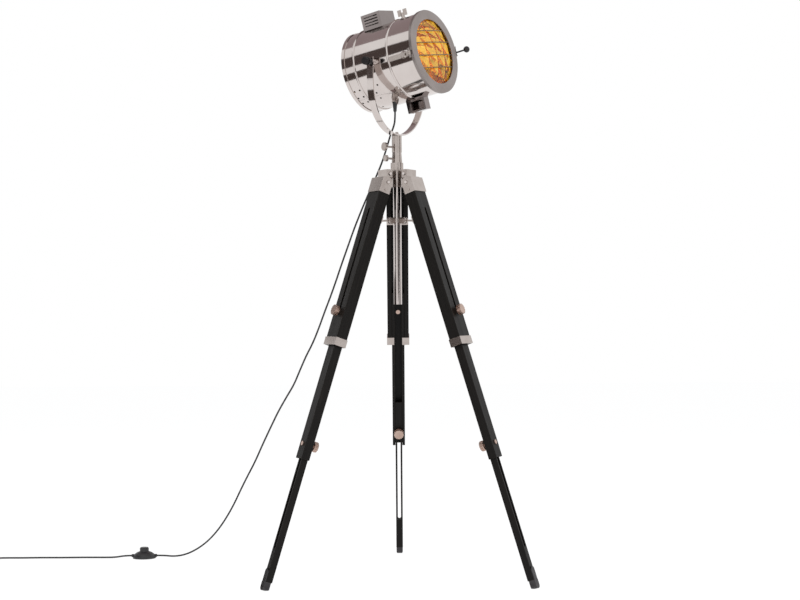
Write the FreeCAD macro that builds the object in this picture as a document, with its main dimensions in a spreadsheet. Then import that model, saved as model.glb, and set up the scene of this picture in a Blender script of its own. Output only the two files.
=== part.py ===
import FreeCAD, Part
import math
import os
import re

import Sketcher

# Tripod spotlight floor lamp. Millimetres, +Z up. The origin is on the floor, under the middle of
# the box that holds the lamp without its cord. The floor is z = 0. The photographed side is -Y: two
# legs stand towards -Y and one towards +Y.

Vector = FreeCAD.Vector
Rotation = FreeCAD.Rotation
Placement = FreeCAD.Placement

SIZES = [
    # tripod head
    ("foot_radius", 372, "tripod axis to the middle of a foot"),
    ("hinge_radius", 43, "tripod axis to a leg's hinge bolt"),
    ("hinge_height", 984, "floor to a leg's hinge bolt"),
    ("leg_tilt", 18.8, "leg off the vertical, degrees"),
    ("arm_inner", 26, "tripod axis to the inner end of an arm's block"),
    ("arm_outer", 42, "tripod axis to the outer end of an arm's block"),
    ("arm_width", 45, "width of an arm's block"),
    ("arm_bottom", 997, "floor to the arm's underside"),
    ("arm_top", 1017, "floor to the arm's top"),
    ("arm_web", 16, "width of the web that carries an arm"),
    ("barrel_radius", 8.5, "hinge barrel of an arm"),
    ("sleeve_bottom", 974, "floor to the lower end of the tripod head's sleeve"),
    ("sleeve_wall", 1.65, "wall of that sleeve"),
    ("collar_radius", 16, "collar above the arms"),
    ("collar_top", 1035, "floor to the collar's top"),
    ("neck_bottom_radius", 13.5, "tapered neck at the collar"),
    ("neck_top_radius", 11.6, "tapered neck at its top"),
    ("neck_top", 1061.2, "floor to the neck's top"),
    # centre column
    ("column_radius", 10.25, "column"),
    ("column_wall", 1.5, "wall of the column"),
    ("column_bottom", 681, "floor to the column's lower end"),
    ("column_top", 1096.8, "floor to the column's upper end"),
    ("column_plug", 6, "thickness of the closed lower end"),
    ("running_gap", 0.08, "radial clearance of a running fit"),
    ("seat_gap", 0.3, "clearance between pieces that move past each other"),
    # legs
    ("upper_width", 55, "upper stage across"),
    ("upper_thick", 29, "upper stage from its outer to its inner side"),
    ("upper_web", 6, "outer wall of the upper stage"),
    ("upper_start", 14, "hinge to the upper end of the wood"),
    ("upper_end", 426, "hinge to the lower end of the upper stage"),
    ("mid_width", 32.5, "middle stage across"),
    ("mid_web", 4.7, "outer wall of the middle stage"),
    ("mid_start", 286, "hinge to the upper end of the middle stage"),
    ("mid_end", 713, "hinge to the lower end of the middle stage"),
    ("lower_width", 18, "lower stage across"),
    ("lower_start", 590, "hinge to the upper end of the lower stage"),
    ("lower_end", 1017, "hinge to the lower end of the lower stage"),
    ("slide_gap", 0.4, "clearance round a sliding stage"),
    ("edge_round", 1.5, "rounded long edges of the wood"),
    ("slot_width", 8.5, "width of the slots"),
    ("upper_slot_start", 74, "hinge to the first centre of the upper stage's slot"),
    ("upper_slot_end", 346, "hinge to the last centre of the upper stage's slot"),
    ("lower_slot_start", 672, "hinge to the first centre of the lower stage's slot"),
    ("lower_slot_end", 932, "hinge to the last centre of the lower stage's slot"),
    ("upper_bolt", 342, "hinge to the upper clamp bolt"),
    ("lower_bolt", 676, "hinge to the lower clamp bolt"),
    ("stud_radius", 3, "clamp bolts"),
    ("knob_hub_radius", 7, "shoulder of a clamp knob"),
    ("knob_hub", 5, "height of that shoulder"),
    ("knob_radius", 13, "clamp knob"),
    ("knob_height", 11, "height of a clamp knob's head"),
    ("scallop_radius", 1.6, "grip flutes of a knob"),
    ("nut_radius", 5.5, "nut and bolt heads of the clamp bolts"),
    ("nut_height", 2.6, "height of those nuts and heads"),
    # leg fittings
    ("sheet", 2, "thickness of the bracket's sheet"),
    ("bracket_top", 9.5, "hinge to the top of the bracket's outer face"),
    ("bracket_end", 28, "hinge to the lower edge of the bracket"),
    ("ear_radius", 13, "rounded ear of the bracket's cheeks"),
    ("hinge_bolt_radius", 3, "leg hinge bolt"),
    ("screw_radius", 1.8, "wood screws"),
    ("screw_head_radius", 3.2, "heads of the wood screws"),
    ("screw_head", 1.6, "height of those heads"),
    ("bracket_screw", 19.5, "hinge to the bracket's screw"),
    ("ferrule_height", 19, "ferrule at the lower end of the upper stage"),
    ("ferrule_sheet", 1.5, "thickness of the ferrule"),
    ("ferrule_mouth", 21, "gap between the ferrule's inner lips"),
    ("strap_at", 93, "hinge to the middle of the spreader strap"),
    ("strap_height", 16, "height of the spreader strap"),
    ("strap_screw", 22, "strap screw off the leg's middle"),
    ("strap_ear", 11, "how far the strap's ears stand out"),
    # spreader
    ("ring_height", 891, "floor to the middle of the spreader ring"),
    ("ring_radius", 13.5, "spreader ring"),
    ("ring_band", 11, "height of the spreader ring"),
    ("ring_pivot", 21.8, "tripod axis to a link's inner pivot"),
    ("fork_reach", 27.6, "tripod axis to the ends of the ring's forks"),
    ("fork_height", 15, "height of the ring's forks"),
    ("fork_sheet", 4.2, "thickness of a fork's cheek"),
    ("link_thick", 5, "thickness of a link"),
    ("link_eye", 4.6, "radius of a link's eyes"),
    ("link_bar", 4.8, "height of a link's bar"),
    ("link_pin", 1.9, "pin through the strap's ears"),
    # swivel sleeve and yoke
    ("head_turn", -33.4, "the drum's heading from +X, degrees"),
    ("head_lift", 10, "the drum's lift above the level, degrees"),
    ("swivel_radius", 12.5, "swivel sleeve"),
    ("swivel_bottom", 1061.6, "floor to the swivel sleeve's lower end"),
    ("swivel_top", 1103.3, "floor to the swivel sleeve's top"),
    ("yoke_sheet", 3, "thickness of the yoke's strip"),
    ("yoke_width", 18, "width of the yoke's strip"),
    ("yoke_half", 116, "drum axis to the middle of a yoke arm"),
    ("yoke_shoulder", 1235, "floor to the foot of the straight arms"),
    ("yoke_bend", 114, "radius of the bottom bend"),
    ("yoke_end", 12, "pivot to the top of an arm"),
    ("pivot_height", 1275.5, "floor to the tilt axis"),
    ("drum_rise", 9, "tilt axis to the drum's own axis above it"),
    ("drum_roll", 8, "turn of the drum's fittings about its own axis, degrees"),
    ("pivot_bolt", 4, "radius of the tilt and yoke bolts"),
    ("pivot_boss", 7.5, "radius of the drum's tilt bosses"),
    ("tilt_knob_radius", 10, "tilt knob"),
    ("tilt_knob_hub", 11, "height of the tilt knob's shoulder"),
    ("tilt_knob_head", 12, "height of the tilt knob's head"),
    ("thumb_disc", 10.5, "radius of the swivel sleeve's thumb screw"),
    ("neck_disc", 8, "radius of the neck's thumb screw"),
    ("thumb_thick", 5, "thickness of the thumb screws' discs"),
    ("thumb_reach", 36, "axis to the disc of the swivel sleeve's thumb screw"),
    ("neck_reach", 32, "axis to the disc of the neck's thumb screw"),
    ("thumb_shank", 2.5, "radius of the thumb screws' shanks"),
    ("thumb_height", 1074.6, "floor to the swivel sleeve's thumb screw"),
    ("neck_screw_height", 1045.6, "floor to the neck's thumb screw"),
    ("thumb_turn", 218, "heading of both thumb screws, degrees"),
    # drum
    ("drum_radius", 101, "drum"),
    ("drum_wall", 1.5, "wall of the drum"),
    ("drum_back", 92.5, "tilt axis to the drum's back edge"),
    ("drum_front", 111.2, "tilt axis to the drum's front edge"),
    ("bead_radius", 3, "rolled beads"),
    ("rear_bead", 58.5, "tilt axis back to the rear bead"),
    ("front_bead", 41.8, "tilt axis forward to the front bead"),
    ("vent_radius", 2.5, "vent holes"),
    ("rim_wall", 1.6, "rim of the back cover"),
    ("bezel_radius", 104.7, "front door"),
    ("bezel_opening", 81.3, "opening of the front door"),
    ("bezel_back", 110.5, "tilt axis to the door's back edge"),
    ("bezel_front", 118, "tilt axis to the door's front face"),
    ("bezel_plate", 2.5, "thickness of the door's face"),
    ("bezel_wall", 1.5, "wall of the door's rim"),
    ("glass_radius", 88, "glass"),
    ("glass_thick", 3, "thickness of the glass"),
    ("wire_radius", 1.5, "guard wires"),
    ("wire_bow", 5, "how far the guard wires bow out"),
    ("door_pin_off", 109, "drum axis to the door's hinge pin"),
    ("door_pin_at", 110, "tilt axis to the door's hinge pin"),
    ("door_pin", 1.8, "radius of the door's hinge pin"),
    ("knuckle_radius", 3.5, "door hinge knuckles"),
    ("knuckle_half", 5, "half the middle knuckle's height"),
    ("latch_at", 110, "tilt axis to the latch's pin"),
    ("latch_off", 112, "drum axis to the latch's pin"),
    ("latch_barrel", 4.5, "latch barrel"),
    ("holder_radius", 19, "lamp holder"),
    ("bulb_radius", 30, "bulb"),
    ("bulb_base", 13, "radius of the bulb's screw base"),
    # cord
    ("cord_diameter", 4.5, "cord"),
    ("coil_radius", 30.4, "outer half turn of the coil, to the cord's middle"),
    ("coil_pitch", 4.95, "turn to turn and layer to layer"),
    ("coil_tail", 34, "straight end of the coil"),
    ("gland_length", 33, "strain relief under the drum"),
    # foot switch and plug
    ("switch_x", -690, "foot switch"),
    ("switch_y", 221, "foot switch"),
    ("switch_half", 32, "half the foot switch's length"),
    ("switch_depth", 28, "half the foot switch's depth"),
    ("switch_height", 20, "foot switch's case"),
    ("button_radius", 12, "foot switch's button"),
    ("button_top", 29, "floor to the button's top"),
    ("inlet_height", 6.5, "floor to the cord's middle at the switch"),
    ("plug_length", 34, "plug's body"),
    ("plug_width", 26, "plug's body"),
    ("pin_radius", 2, "plug's pins"),
    ("pin_length", 19, "plug's pins"),
    ("pin_pitch", 19, "between the plug's pins"),
]

VALUE = {name: number for name, number, note in SIZES}

LEGS = [("left", 210), ("right", 330), ("back", 90)]
FLUTES = 16
X_AXIS = Vector(1, 0, 0)
Y_AXIS = Vector(0, 1, 0)
Z_AXIS = Vector(0, 0, 1)

# The drum's vent holes: each row's turn off the drum's bottom, and where its holes are along the drum.
VENTS = [(-61, (-81.5, -66, -39.5, -12)), (-49.5, (-82, -66, -26.5)), (-38.5, (-81, -65.5, -26.5)), (-16, (-47.5,))]

# The cord's chosen routes, from the strain relief to the coil.
CORD_DROP = [
    (-3.8, -125, 1160), (-3.8, -125, 1139.2), (-7.5, -112, 1124), (-14.5, -91.5, 1110), (-21, -84.5, 1089),
    (-28, -84, 1066), (-36, -83, 1042), (-44, -81.5, 1022), (-52, -79, 1004),
]
CORD_FALL = [
    (-52, -79, 1004), (-60, -76.5, 986), (-75, -69, 954), (-91, -61.5, 918), (-110, -52, 872),
    (-127, -41.5, 826), (-143, -31, 783), (-157, -22, 743), (-171, -13, 705), (-187.5, -4, 664),
    (-204, 6, 620), (-220, 15, 582), (-238, 23.5, 549), (-255, 32.5, 511), (-271, 42, 474),
    (-293, 52, 439), (-314, 63, 403), (-334, 74, 363), (-357, 85.5, 316), (-378, 98, 270),
    (-401, 110, 228), (-420, 121.5, 191), (-438, 132, 154), (-459, 147, 118), (-484, 165, 82),
    (-513, 186, 50), (-546, 207, 24.5), (-579, 221.5, 8), (-610, 225.5, 2.9), (-637, 221, 6.5), (-656, 221, 6.5),
]
CORD_LEAD = [
    (-724, 221, 6.5), (-743, 221, 6.5), (-768, 218.5, 2.6), (-806, 221, 2.3), (-856, 224, 2.3),
    (-910, 221.5, 2.3), (-966, 224.5, 2.3), (-1018, 222, 2.3), (-1064, 224.5, 2.3), (-1093, 221, 2.3),
    (-1116, 221, 2.3),
]
COIL_CENTRE_X = -1121
COIL_HALF_TURNS = 5

doc = FreeCAD.newDocument("spotlight_floor_lamp")
sheet = doc.addObject("Spreadsheet::Sheet", "sizes")
for line, (name, number, note) in enumerate(SIZES, start=1):
    sheet.set(f"A{line}", name)
    sheet.set(f"B{line}", str(number))
    sheet.setAlias(f"B{line}", name)
    sheet.set(f"C{line}", note)
doc.recompute()

nodes = []

# The tripod's axis stands forward of the box's middle, because one leg reaches back twice as far.
HOME = Placement(Vector(0, -VALUE["foot_radius"] / 4, 0), Rotation())


def formula(text):
    """An expression in which each size's name points to its cell."""
    return re.sub(r"[a-z][a-z0-9_]*", lambda m: "sizes." + m[0] if m[0] in VALUE else m[0], text)


def bind(piece, property_name, text):
    piece.setExpression(property_name, formula(text))


def block(name, x, y, z):
    """A box between low and high values on each axis."""
    piece = doc.addObject("Part::Box", name)
    for property_name, axis, (low, high) in zip(("Length", "Width", "Height"), "xyz", (x, y, z)):
        bind(piece, property_name, f"({high}) - ({low})")
        bind(piece, f"Placement.Base.{axis}", low)
    return piece


TURNS = {"x": Rotation(Y_AXIS, 90), "y": Rotation(X_AXIS, -90), "z": Rotation()}


def set_along(piece, along, low, at):
    piece.Placement = Placement(Vector(), TURNS[along])
    others = [axis for axis in "xyz" if axis != along]
    bind(piece, f"Placement.Base.{along}", low)
    for axis, text in zip(others, at):
        bind(piece, f"Placement.Base.{axis}", text)


def rod(name, radius, along, low, high, at=("0", "0")):
    piece = doc.addObject("Part::Cylinder", name)
    bind(piece, "Radius", radius)
    bind(piece, "Height", f"({high}) - ({low})")
    set_along(piece, along, low, at)
    return piece


def cone(name, low_radius, high_radius, along, low, high, at=("0", "0")):
    piece = doc.addObject("Part::Cone", name)
    bind(piece, "Radius1", low_radius)
    bind(piece, "Radius2", high_radius)
    bind(piece, "Height", f"({high}) - ({low})")
    set_along(piece, along, low, at)
    return piece


def ball(name, radius, at):
    piece = doc.addObject("Part::Sphere", name)
    bind(piece, "Radius", radius)
    for axis, text in zip("xyz", at):
        bind(piece, f"Placement.Base.{axis}", text)
    return piece


def hoop(name, radius, thickness, along, at):
    piece = doc.addObject("Part::Torus", name)
    bind(piece, "Radius1", radius)
    bind(piece, "Radius2", thickness)
    set_along(piece, along, at, ("0", "0"))
    return piece


def union(name, pieces):
    piece = doc.addObject("Part::MultiFuse", name)
    piece.Shapes = pieces
    return piece


def cut(name, base, tools):
    piece = doc.addObject("Part::Cut", name)
    piece.Base = base
    piece.Tool = tools[0] if len(tools) == 1 else group(name + "_tools", tools)
    return piece


def group(name, pieces, place=Placement()):
    piece = doc.addObject("Part::Compound", name)
    piece.Links = pieces
    piece.Placement = place
    return piece


def shaped(name, shape):
    piece = doc.addObject("Part::Feature", name)
    piece.Shape = shape
    return piece


def node(piece, label, place):
    """Names a finished sub-part and puts it in its place on the lamp."""
    piece.Label = label
    piece.Placement = place
    nodes.append(piece)
    return piece


def origin_plane(body, role):
    return [feature for feature in body.Origin.OriginFeatures if feature.Role == role][0]


def sketch(body, name, role, height):
    made = body.newObject("Sketcher::SketchObject", name)
    made.AttachmentSupport = [(origin_plane(body, role), "")]
    made.MapMode = "FlatFace"
    made.setExpression("AttachmentOffset.Base.z", formula(height))
    return made


def outline(body, name, role, corners, height="0"):
    """A closed outline of straight edges through the corners."""
    made = sketch(body, name, role, height)
    count = len(corners)
    start = [Vector(50 * math.cos(2 * math.pi * i / count), 50 * math.sin(2 * math.pi * i / count), 0)
             for i in range(count)]
    for i in range(count):
        made.addGeometry(Part.LineSegment(start[i], start[(i + 1) % count]), False)
    for i in range(count):
        made.addConstraint(Sketcher.Constraint("Coincident", i, 2, (i + 1) % count, 1))
    for i, corner in enumerate(corners):
        for kind, text, first in zip(("DistanceX", "DistanceY"), corner, start[i]):
            number = made.addConstraint(Sketcher.Constraint(kind, -1, 1, i, 1, first))
            made.setExpression(f"Constraints[{number}]", formula(text))
    return made


def circles(body, name, role, radius, centres):
    made = sketch(body, name, role, "0")
    for i, centre in enumerate(centres):
        made.addGeometry(Part.Circle(Vector(0, -100 * (i + 1), 0), Z_AXIS, 5), False)
        number = made.addConstraint(Sketcher.Constraint("Radius", i, 5))
        made.setExpression(f"Constraints[{number}]", formula(radius))
        for kind, text, first in zip(("DistanceX", "DistanceY"), centre, (0, -100 * (i + 1))):
            number = made.addConstraint(Sketcher.Constraint(kind, -1, 1, i, 3, first))
            made.setExpression(f"Constraints[{number}]", formula(text))
    return made


def slot_outline(body, name, role, half_width, first, last):
    """A long slot along the sketch's upright, between two centres."""
    made = sketch(body, name, role, "0")
    wide = VALUE["slot_width"] / 2
    high = -VALUE["upper_slot_start"]
    low = -VALUE["upper_slot_end"]
    made.addGeometry(Part.ArcOfCircle(Part.Circle(Vector(0, high, 0), Z_AXIS, wide), 0, math.pi), False)
    made.addGeometry(Part.ArcOfCircle(Part.Circle(Vector(0, low, 0), Z_AXIS, wide), math.pi, 2 * math.pi), False)
    made.addGeometry(Part.LineSegment(Vector(-wide, high, 0), Vector(-wide, low, 0)), False)
    made.addGeometry(Part.LineSegment(Vector(wide, low, 0), Vector(wide, high, 0)), False)
    for pair in ((0, 2, 2, 1), (2, 2, 1, 1), (1, 2, 3, 1), (3, 2, 0, 1)):
        made.addConstraint(Sketcher.Constraint("Tangent", *pair))
    made.addConstraint(Sketcher.Constraint("Equal", 0, 1))
    number = made.addConstraint(Sketcher.Constraint("Radius", 0, wide))
    made.setExpression(f"Constraints[{number}]", formula(half_width))
    for curve, text, height in ((0, first, high), (1, last, low)):
        made.addConstraint(Sketcher.Constraint("PointOnObject", curve, 3, -2))
        number = made.addConstraint(Sketcher.Constraint("DistanceY", -1, 1, curve, 3, height))
        made.setExpression(f"Constraints[{number}]", formula(text))
    return made


def pad(body, profile, length):
    feature = body.newObject("PartDesign::Pad", profile.Name + "_pad")
    feature.Profile = profile
    bind(feature, "Length", length)
    body.Tip = feature
    return feature


def pocket_through(body, profile):
    feature = body.newObject("PartDesign::Pocket", profile.Name + "_pocket")
    feature.Profile = profile
    feature.Type = "ThroughAll"
    feature.Midplane = True
    body.Tip = feature
    return feature


def revolved(name, role, axis, corners):
    body = doc.addObject("PartDesign::Body", name + "_body")
    profile = outline(body, name + "_profile", role, corners)
    feature = body.newObject("PartDesign::Revolution", name + "_revolution")
    feature.Profile = profile
    feature.ReferenceAxis = (profile, [axis])
    feature.Angle = 360
    body.Tip = feature
    return body


def round_long_edges(body, base, radius, outer_side):
    """Rounds the edges that run along the leg on its outer corners."""
    doc.recompute()
    chosen = []
    widest = max(vertex.Point.y for vertex in base.Shape.Vertexes)
    for number, edge in enumerate(base.Shape.Edges, start=1):
        ends = [vertex.Point for vertex in edge.Vertexes]
        along = len(ends) == 2 and abs(ends[0].x - ends[1].x) + abs(ends[0].y - ends[1].y) < 1e-6
        if along and abs(abs(ends[0].y) - widest) < 1e-6 and (ends[0].x > 0 or not outer_side):
            chosen.append(f"Edge{number}")
    feature = body.newObject("PartDesign::Fillet", body.Name + "_rounds")
    feature.Base = (base, chosen)
    bind(feature, "Radius", radius)
    body.Tip = feature


def fluted_knob(name, radius, low, high):
    """A round head with grip flutes, along z."""
    head = rod(name + "_blank", radius, "z", low, high)
    flutes = []
    for i in range(FLUTES):
        angle = 360 / FLUTES * i
        at = (f"({radius}) * cos({angle})", f"({radius}) * sin({angle})")
        flutes.append(rod(f"{name}_flute_{i}", "scallop_radius", "z", f"{low} + 1.5", f"{high} + 1", at))
    return cut(name + "_head", head, flutes)


def polar(azimuth):
    return Placement(Vector(), Rotation(Z_AXIS, azimuth))


def leg_frame(azimuth):
    """x points out of the leg's outer side, y across it and z up along it, from the hinge bolt."""
    hinge = Placement(Vector(VALUE["hinge_radius"], 0, VALUE["hinge_height"]),
                      Rotation(Y_AXIS, -VALUE["leg_tilt"]))
    return HOME * polar(azimuth) * hinge


def head_frame():
    """x points forward along the drum's axis, y to its left and z up, from above the tilt axis."""
    lift = Placement(Vector(0, 0, VALUE["pivot_height"]), Rotation(Y_AXIS, -VALUE["head_lift"]))
    rise = Placement(Vector(0, 0, VALUE["drum_rise"]), Rotation())
    return HOME * polar(VALUE["head_turn"]) * lift * rise


def yoke_frame():
    return HOME * polar(VALUE["head_turn"])


# Outer and inner faces of the nested stages, along a leg's x.
MID_OUT = "(upper_thick / 2 - upper_web - slide_gap)"
STAGE_IN = "(-upper_thick / 2 + slide_gap)"
LOWER_OUT = f"({MID_OUT} - mid_web - slide_gap)"


def channel(body, name, outer, inner, half, web, mouth, low):
    """The section of a stage that is open on its inner side."""
    corners = [
        (inner, f"-({half})"), (outer, f"-({half})"), (outer, half), (inner, half),
        (inner, mouth), (f"{outer} - {web}", mouth), (f"{outer} - {web}", f"-({mouth})"), (inner, f"-({mouth})"),
    ]
    return outline(body, name, "XY_Plane", corners, low)


def upper_stage(side):
    name = f"leg_{side}_upper"
    body = doc.addObject("PartDesign::Body", name + "_body")
    profile = channel(body, name + "_section", "upper_thick / 2", "-upper_thick / 2", "upper_width / 2",
                      "upper_web", "mid_width / 2 + slide_gap", "-upper_end")
    base = pad(body, profile, "upper_end - upper_start")
    round_long_edges(body, base, "edge_round", True)
    pocket_through(body, slot_outline(body, name + "_slot", "YZ_Plane", "slot_width / 2",
                                      "-upper_slot_start", "-upper_slot_end"))
    holes = [rod(name + "_bracket_hole", "screw_radius + running_gap", "y", "-upper_width", "upper_width",
                 ("0", "-bracket_screw"))]
    for sign in ("", "-"):
        holes.append(rod(name + "_strap_hole", "screw_radius + running_gap", "x", "-upper_thick", "0",
                         (f"{sign}strap_screw", "-strap_at")))
    return cut(name, body, holes)


def middle_stage(side):
    name = f"leg_{side}_mid"
    body = doc.addObject("PartDesign::Body", name)
    profile = channel(body, name + "_section", MID_OUT, STAGE_IN, "mid_width / 2", "mid_web",
                      "lower_width / 2 + slide_gap", "-mid_end")
    base = pad(body, profile, "mid_end - mid_start")
    round_long_edges(body, base, "edge_round", False)
    pocket_through(body, circles(body, name + "_holes", "YZ_Plane", "stud_radius + running_gap",
                                 [("0", "-upper_bolt"), ("0", "-lower_bolt")]))
    return body


def lower_stage(side):
    name = f"leg_{side}_lower"
    body = doc.addObject("PartDesign::Body", name)
    corners = [(STAGE_IN, "-lower_width / 2"), (LOWER_OUT, "-lower_width / 2"),
               (LOWER_OUT, "lower_width / 2"), (STAGE_IN, "lower_width / 2")]
    base = pad(body, outline(body, name + "_section", "XY_Plane", corners, "-lower_end"),
               "lower_end - lower_start")
    round_long_edges(body, base, "edge_round", False)
    pocket_through(body, slot_outline(body, name + "_slot", "YZ_Plane", "slot_width / 2",
                                      "-lower_slot_start", "-lower_slot_end"))
    return body


def bracket(side):
    """The folded metal cap of a leg, with two rounded ears on the hinge bolt."""
    name = f"leg_{side}_bracket"
    outer = ("upper_thick / 2", "upper_thick / 2 + sheet")
    pieces = [block(name + "_face", outer, ("-upper_width / 2 - sheet", "upper_width / 2 + sheet"),
                    ("-bracket_end", "bracket_top"))]
    for word, low, high in (("near", "-upper_width / 2 - sheet", "-upper_width / 2"),
                            ("far", "upper_width / 2", "upper_width / 2 + sheet")):
        pieces.append(block(f"{name}_{word}_cheek", ("-ear_radius", outer[1]), (low, high), ("-bracket_end", "0")))
        pieces.append(block(f"{name}_{word}_shoulder", ("0", outer[1]), (low, high), ("0", "bracket_top")))
        pieces.append(rod(f"{name}_{word}_ear", "ear_radius", "y", low, high))
    holes = [rod(name + "_bolt_hole", "hinge_bolt_radius + running_gap", "y", "-upper_width", "upper_width"),
             rod(name + "_screw_hole", "screw_radius + running_gap", "y", "-upper_width", "upper_width",
                 ("0", "-bracket_screw"))]
    return cut(name, union(name + "_sheet", pieces), holes)


def ferrule(side):
    name = f"leg_{side}_ferrule"
    low = "-upper_end - 0.8"
    high = "-upper_end + ferrule_height"
    face = "upper_thick / 2"
    edge = "upper_width / 2"
    pieces = [block(name + "_face", (face, f"{face} + ferrule_sheet"),
                    (f"-{edge} - ferrule_sheet", f"{edge} + ferrule_sheet"), (low, high))]
    for sign, word in ((1, "far"), (-1, "near")):
        side_wall = (edge, f"{edge} + ferrule_sheet")
        lip = ("ferrule_mouth / 2", f"{edge} + ferrule_sheet")
        if sign < 0:
            side_wall = (f"-{edge} - ferrule_sheet", f"-{edge}")
            lip = (f"-{edge} - ferrule_sheet", "-ferrule_mouth / 2")
        pieces.append(block(f"{name}_{word}_wall", (f"-{face} - ferrule_sheet", f"{face} + ferrule_sheet"),
                            side_wall, (low, high)))
        pieces.append(block(f"{name}_{word}_lip", (f"-{face} - ferrule_sheet", f"-{face}"), lip, (low, high)))
    return union(name, pieces)


def strap(side):
    """The metal strap across a leg's inner side, with two ears for the spreader link."""
    name = f"leg_{side}_strap"
    back = "-upper_thick / 2"
    height = ("-strap_at - strap_height / 2", "-strap_at + strap_height / 2")
    pieces = [block(name + "_plate", (f"{back} - sheet", back), ("-upper_width / 2", "upper_width / 2"), height)]
    ear_half = "link_thick / 2 + seat_gap"
    for word, low, high in (("near", f"-({ear_half}) - sheet", f"-({ear_half})"),
                            ("far", ear_half, f"{ear_half} + sheet")):
        pieces.append(block(f"{name}_{word}_ear", (f"{back} - sheet - strap_ear", f"{back} - sheet"), (low, high),
                            ("-strap_at - 5", "-strap_at + 5")))
    holes = [rod(name + "_pin_hole", "link_pin + running_gap", "y", "-upper_width", "upper_width",
                 (f"{back} - sheet - strap_ear / 2", "-strap_at"))]
    for sign in ("", "-"):
        holes.append(rod(name + "_screw_hole", "screw_radius + running_gap", "x", "-upper_thick", "0",
                         (f"{sign}strap_screw", "-strap_at")))
    return cut(name, union(name + "_sheet", pieces), holes)


def leg_screws(side):
    """Bracket screws, strap screws and the link's pin."""
    name = f"leg_{side}_screws"
    solids = []
    cheek = "upper_width / 2 + sheet"
    for sign, word in ((1, "far"), (-1, "near")):
        if sign > 0:
            shank = (f"{cheek} - 14", f"{cheek} + 0.1")
            head = (cheek, f"{cheek} + screw_head")
        else:
            shank = (f"-({cheek}) - 0.1", f"-({cheek}) + 14")
            head = (f"-({cheek}) - screw_head", f"-({cheek})")
        at = ("0", "-bracket_screw")
        solids.append(union(f"{name}_bracket_{word}", [
            rod(f"{name}_shank_{word}", "screw_radius", "y", *shank, at),
            rod(f"{name}_head_{word}", "screw_head_radius", "y", *head, at)]))
    face = "-upper_thick / 2 - sheet"
    for sign, word in (("", "far"), ("-", "near")):
        at = (f"{sign}strap_screw", "-strap_at")
        solids.append(union(f"{name}_strap_{word}", [
            rod(f"{name}_strap_shank_{word}", "screw_radius", "x", f"{face} - 0.1", f"{face} + 13", at),
            rod(f"{name}_strap_head_{word}", "screw_head_radius", "x", f"{face} - screw_head", face, at)]))
    ear = "link_thick / 2 + seat_gap + sheet"
    at = (f"{face} - strap_ear / 2", "-strap_at")
    solids.append(union(name + "_link_pin", [
        rod(name + "_pin", "link_pin", "y", f"-({ear}) - 0.1", f"{ear} + 0.1", at),
        rod(name + "_pin_head", "screw_head_radius", "y", f"-({ear}) - 1.4", f"-({ear})", at),
        rod(name + "_pin_end", "screw_head_radius", "y", ear, f"{ear} + 1.4", at)]))
    return group(name, solids)


def clamp_knob(name, stud, end_radius):
    """A fluted knob on its bolt, along z, with its shoulder at z = 0 and the bolt reaching down."""
    head = fluted_knob(name, "knob_radius", "knob_hub", "knob_hub + knob_height")
    return union(name, [
        head,
        rod(name + "_shoulder", "knob_hub_radius", "z", "0", "knob_hub"),
        rod(name + "_stud", "stud_radius", "z", f"-({stud})", "knob_hub"),
        rod(name + "_end", end_radius, "z", f"-({stud}) - nut_height", f"-({stud})"),
    ])


def foot(side):
    """The metal tongue on the outer side and the dark rounded point, flat where it stands."""
    name = f"leg_{side}_foot"
    face = LOWER_OUT
    pieces = [
        block(name + "_tongue", (face, f"{face} + 2.5"), ("-7.5", "7.5"), ("-lower_end - 12", "-lower_end + 25")),
        rod(name + "_tongue_top", "7.5", "x", face, f"{face} + 2.5", ("0", "-lower_end + 25")),
        block(name + "_point", (f"{STAGE_IN} + 3", f"{face} + 2.5"), ("-8.6", "8.6"),
              ("-lower_end - 13", "-lower_end")),
        rod(name + "_tip", "8.6", "x", f"{STAGE_IN} + 3", f"{face} + 2.5", ("0", "-lower_end - 13")),
    ]
    floor = doc.addObject("Part::Box", name + "_floor")
    floor.Length = 200
    floor.Width = 200
    floor.Height = 100
    level = Placement(Vector(VALUE["hinge_radius"], 0, VALUE["hinge_height"]),
                      Rotation(Y_AXIS, -VALUE["leg_tilt"])).inverse()
    floor.Placement = level * Placement(Vector(VALUE["foot_radius"] - 100, -100, -100), Rotation())
    return cut(name, union(name + "_blank", pieces), [floor])


def link_ends():
    """The link's outer and inner pivots in the upright plane of a leg: radius and height."""
    tilt = math.radians(VALUE["leg_tilt"])
    out = -VALUE["upper_thick"] / 2 - VALUE["sheet"] - VALUE["strap_ear"] / 2
    down = VALUE["strap_at"]
    outer = (VALUE["hinge_radius"] + out * math.cos(tilt) + down * math.sin(tilt),
             VALUE["hinge_height"] + out * math.sin(tilt) - down * math.cos(tilt))
    return outer, (VALUE["ring_pivot"], VALUE["ring_height"])


def link_frame(azimuth):
    outer, inner = link_ends()
    angle = math.degrees(math.atan2(inner[1] - outer[1], inner[0] - outer[0]))
    return HOME * polar(azimuth) * Placement(Vector(outer[0], 0, outer[1]), Rotation(Y_AXIS, -angle))


def link(side):
    name = f"leg_{side}_link"
    outer, inner = link_ends()
    length = str(round(math.dist(outer, inner), 3))
    half = ("-link_thick / 2", "link_thick / 2")
    bar = union(name + "_bar", [
        rod(name + "_outer_eye", "link_eye", "y", *half),
        rod(name + "_inner_eye", "link_eye", "y", *half, (length, "0")),
        block(name + "_middle", ("0", length), half, ("-link_bar / 2", "link_bar / 2")),
    ])
    return cut(name, bar, [
        rod(name + "_outer_bore", "link_pin + running_gap", "y", "-link_thick", "link_thick"),
        rod(name + "_inner_bore", "link_pin + running_gap", "y", "-link_thick", "link_thick", (length, "0")),
    ])


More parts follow.
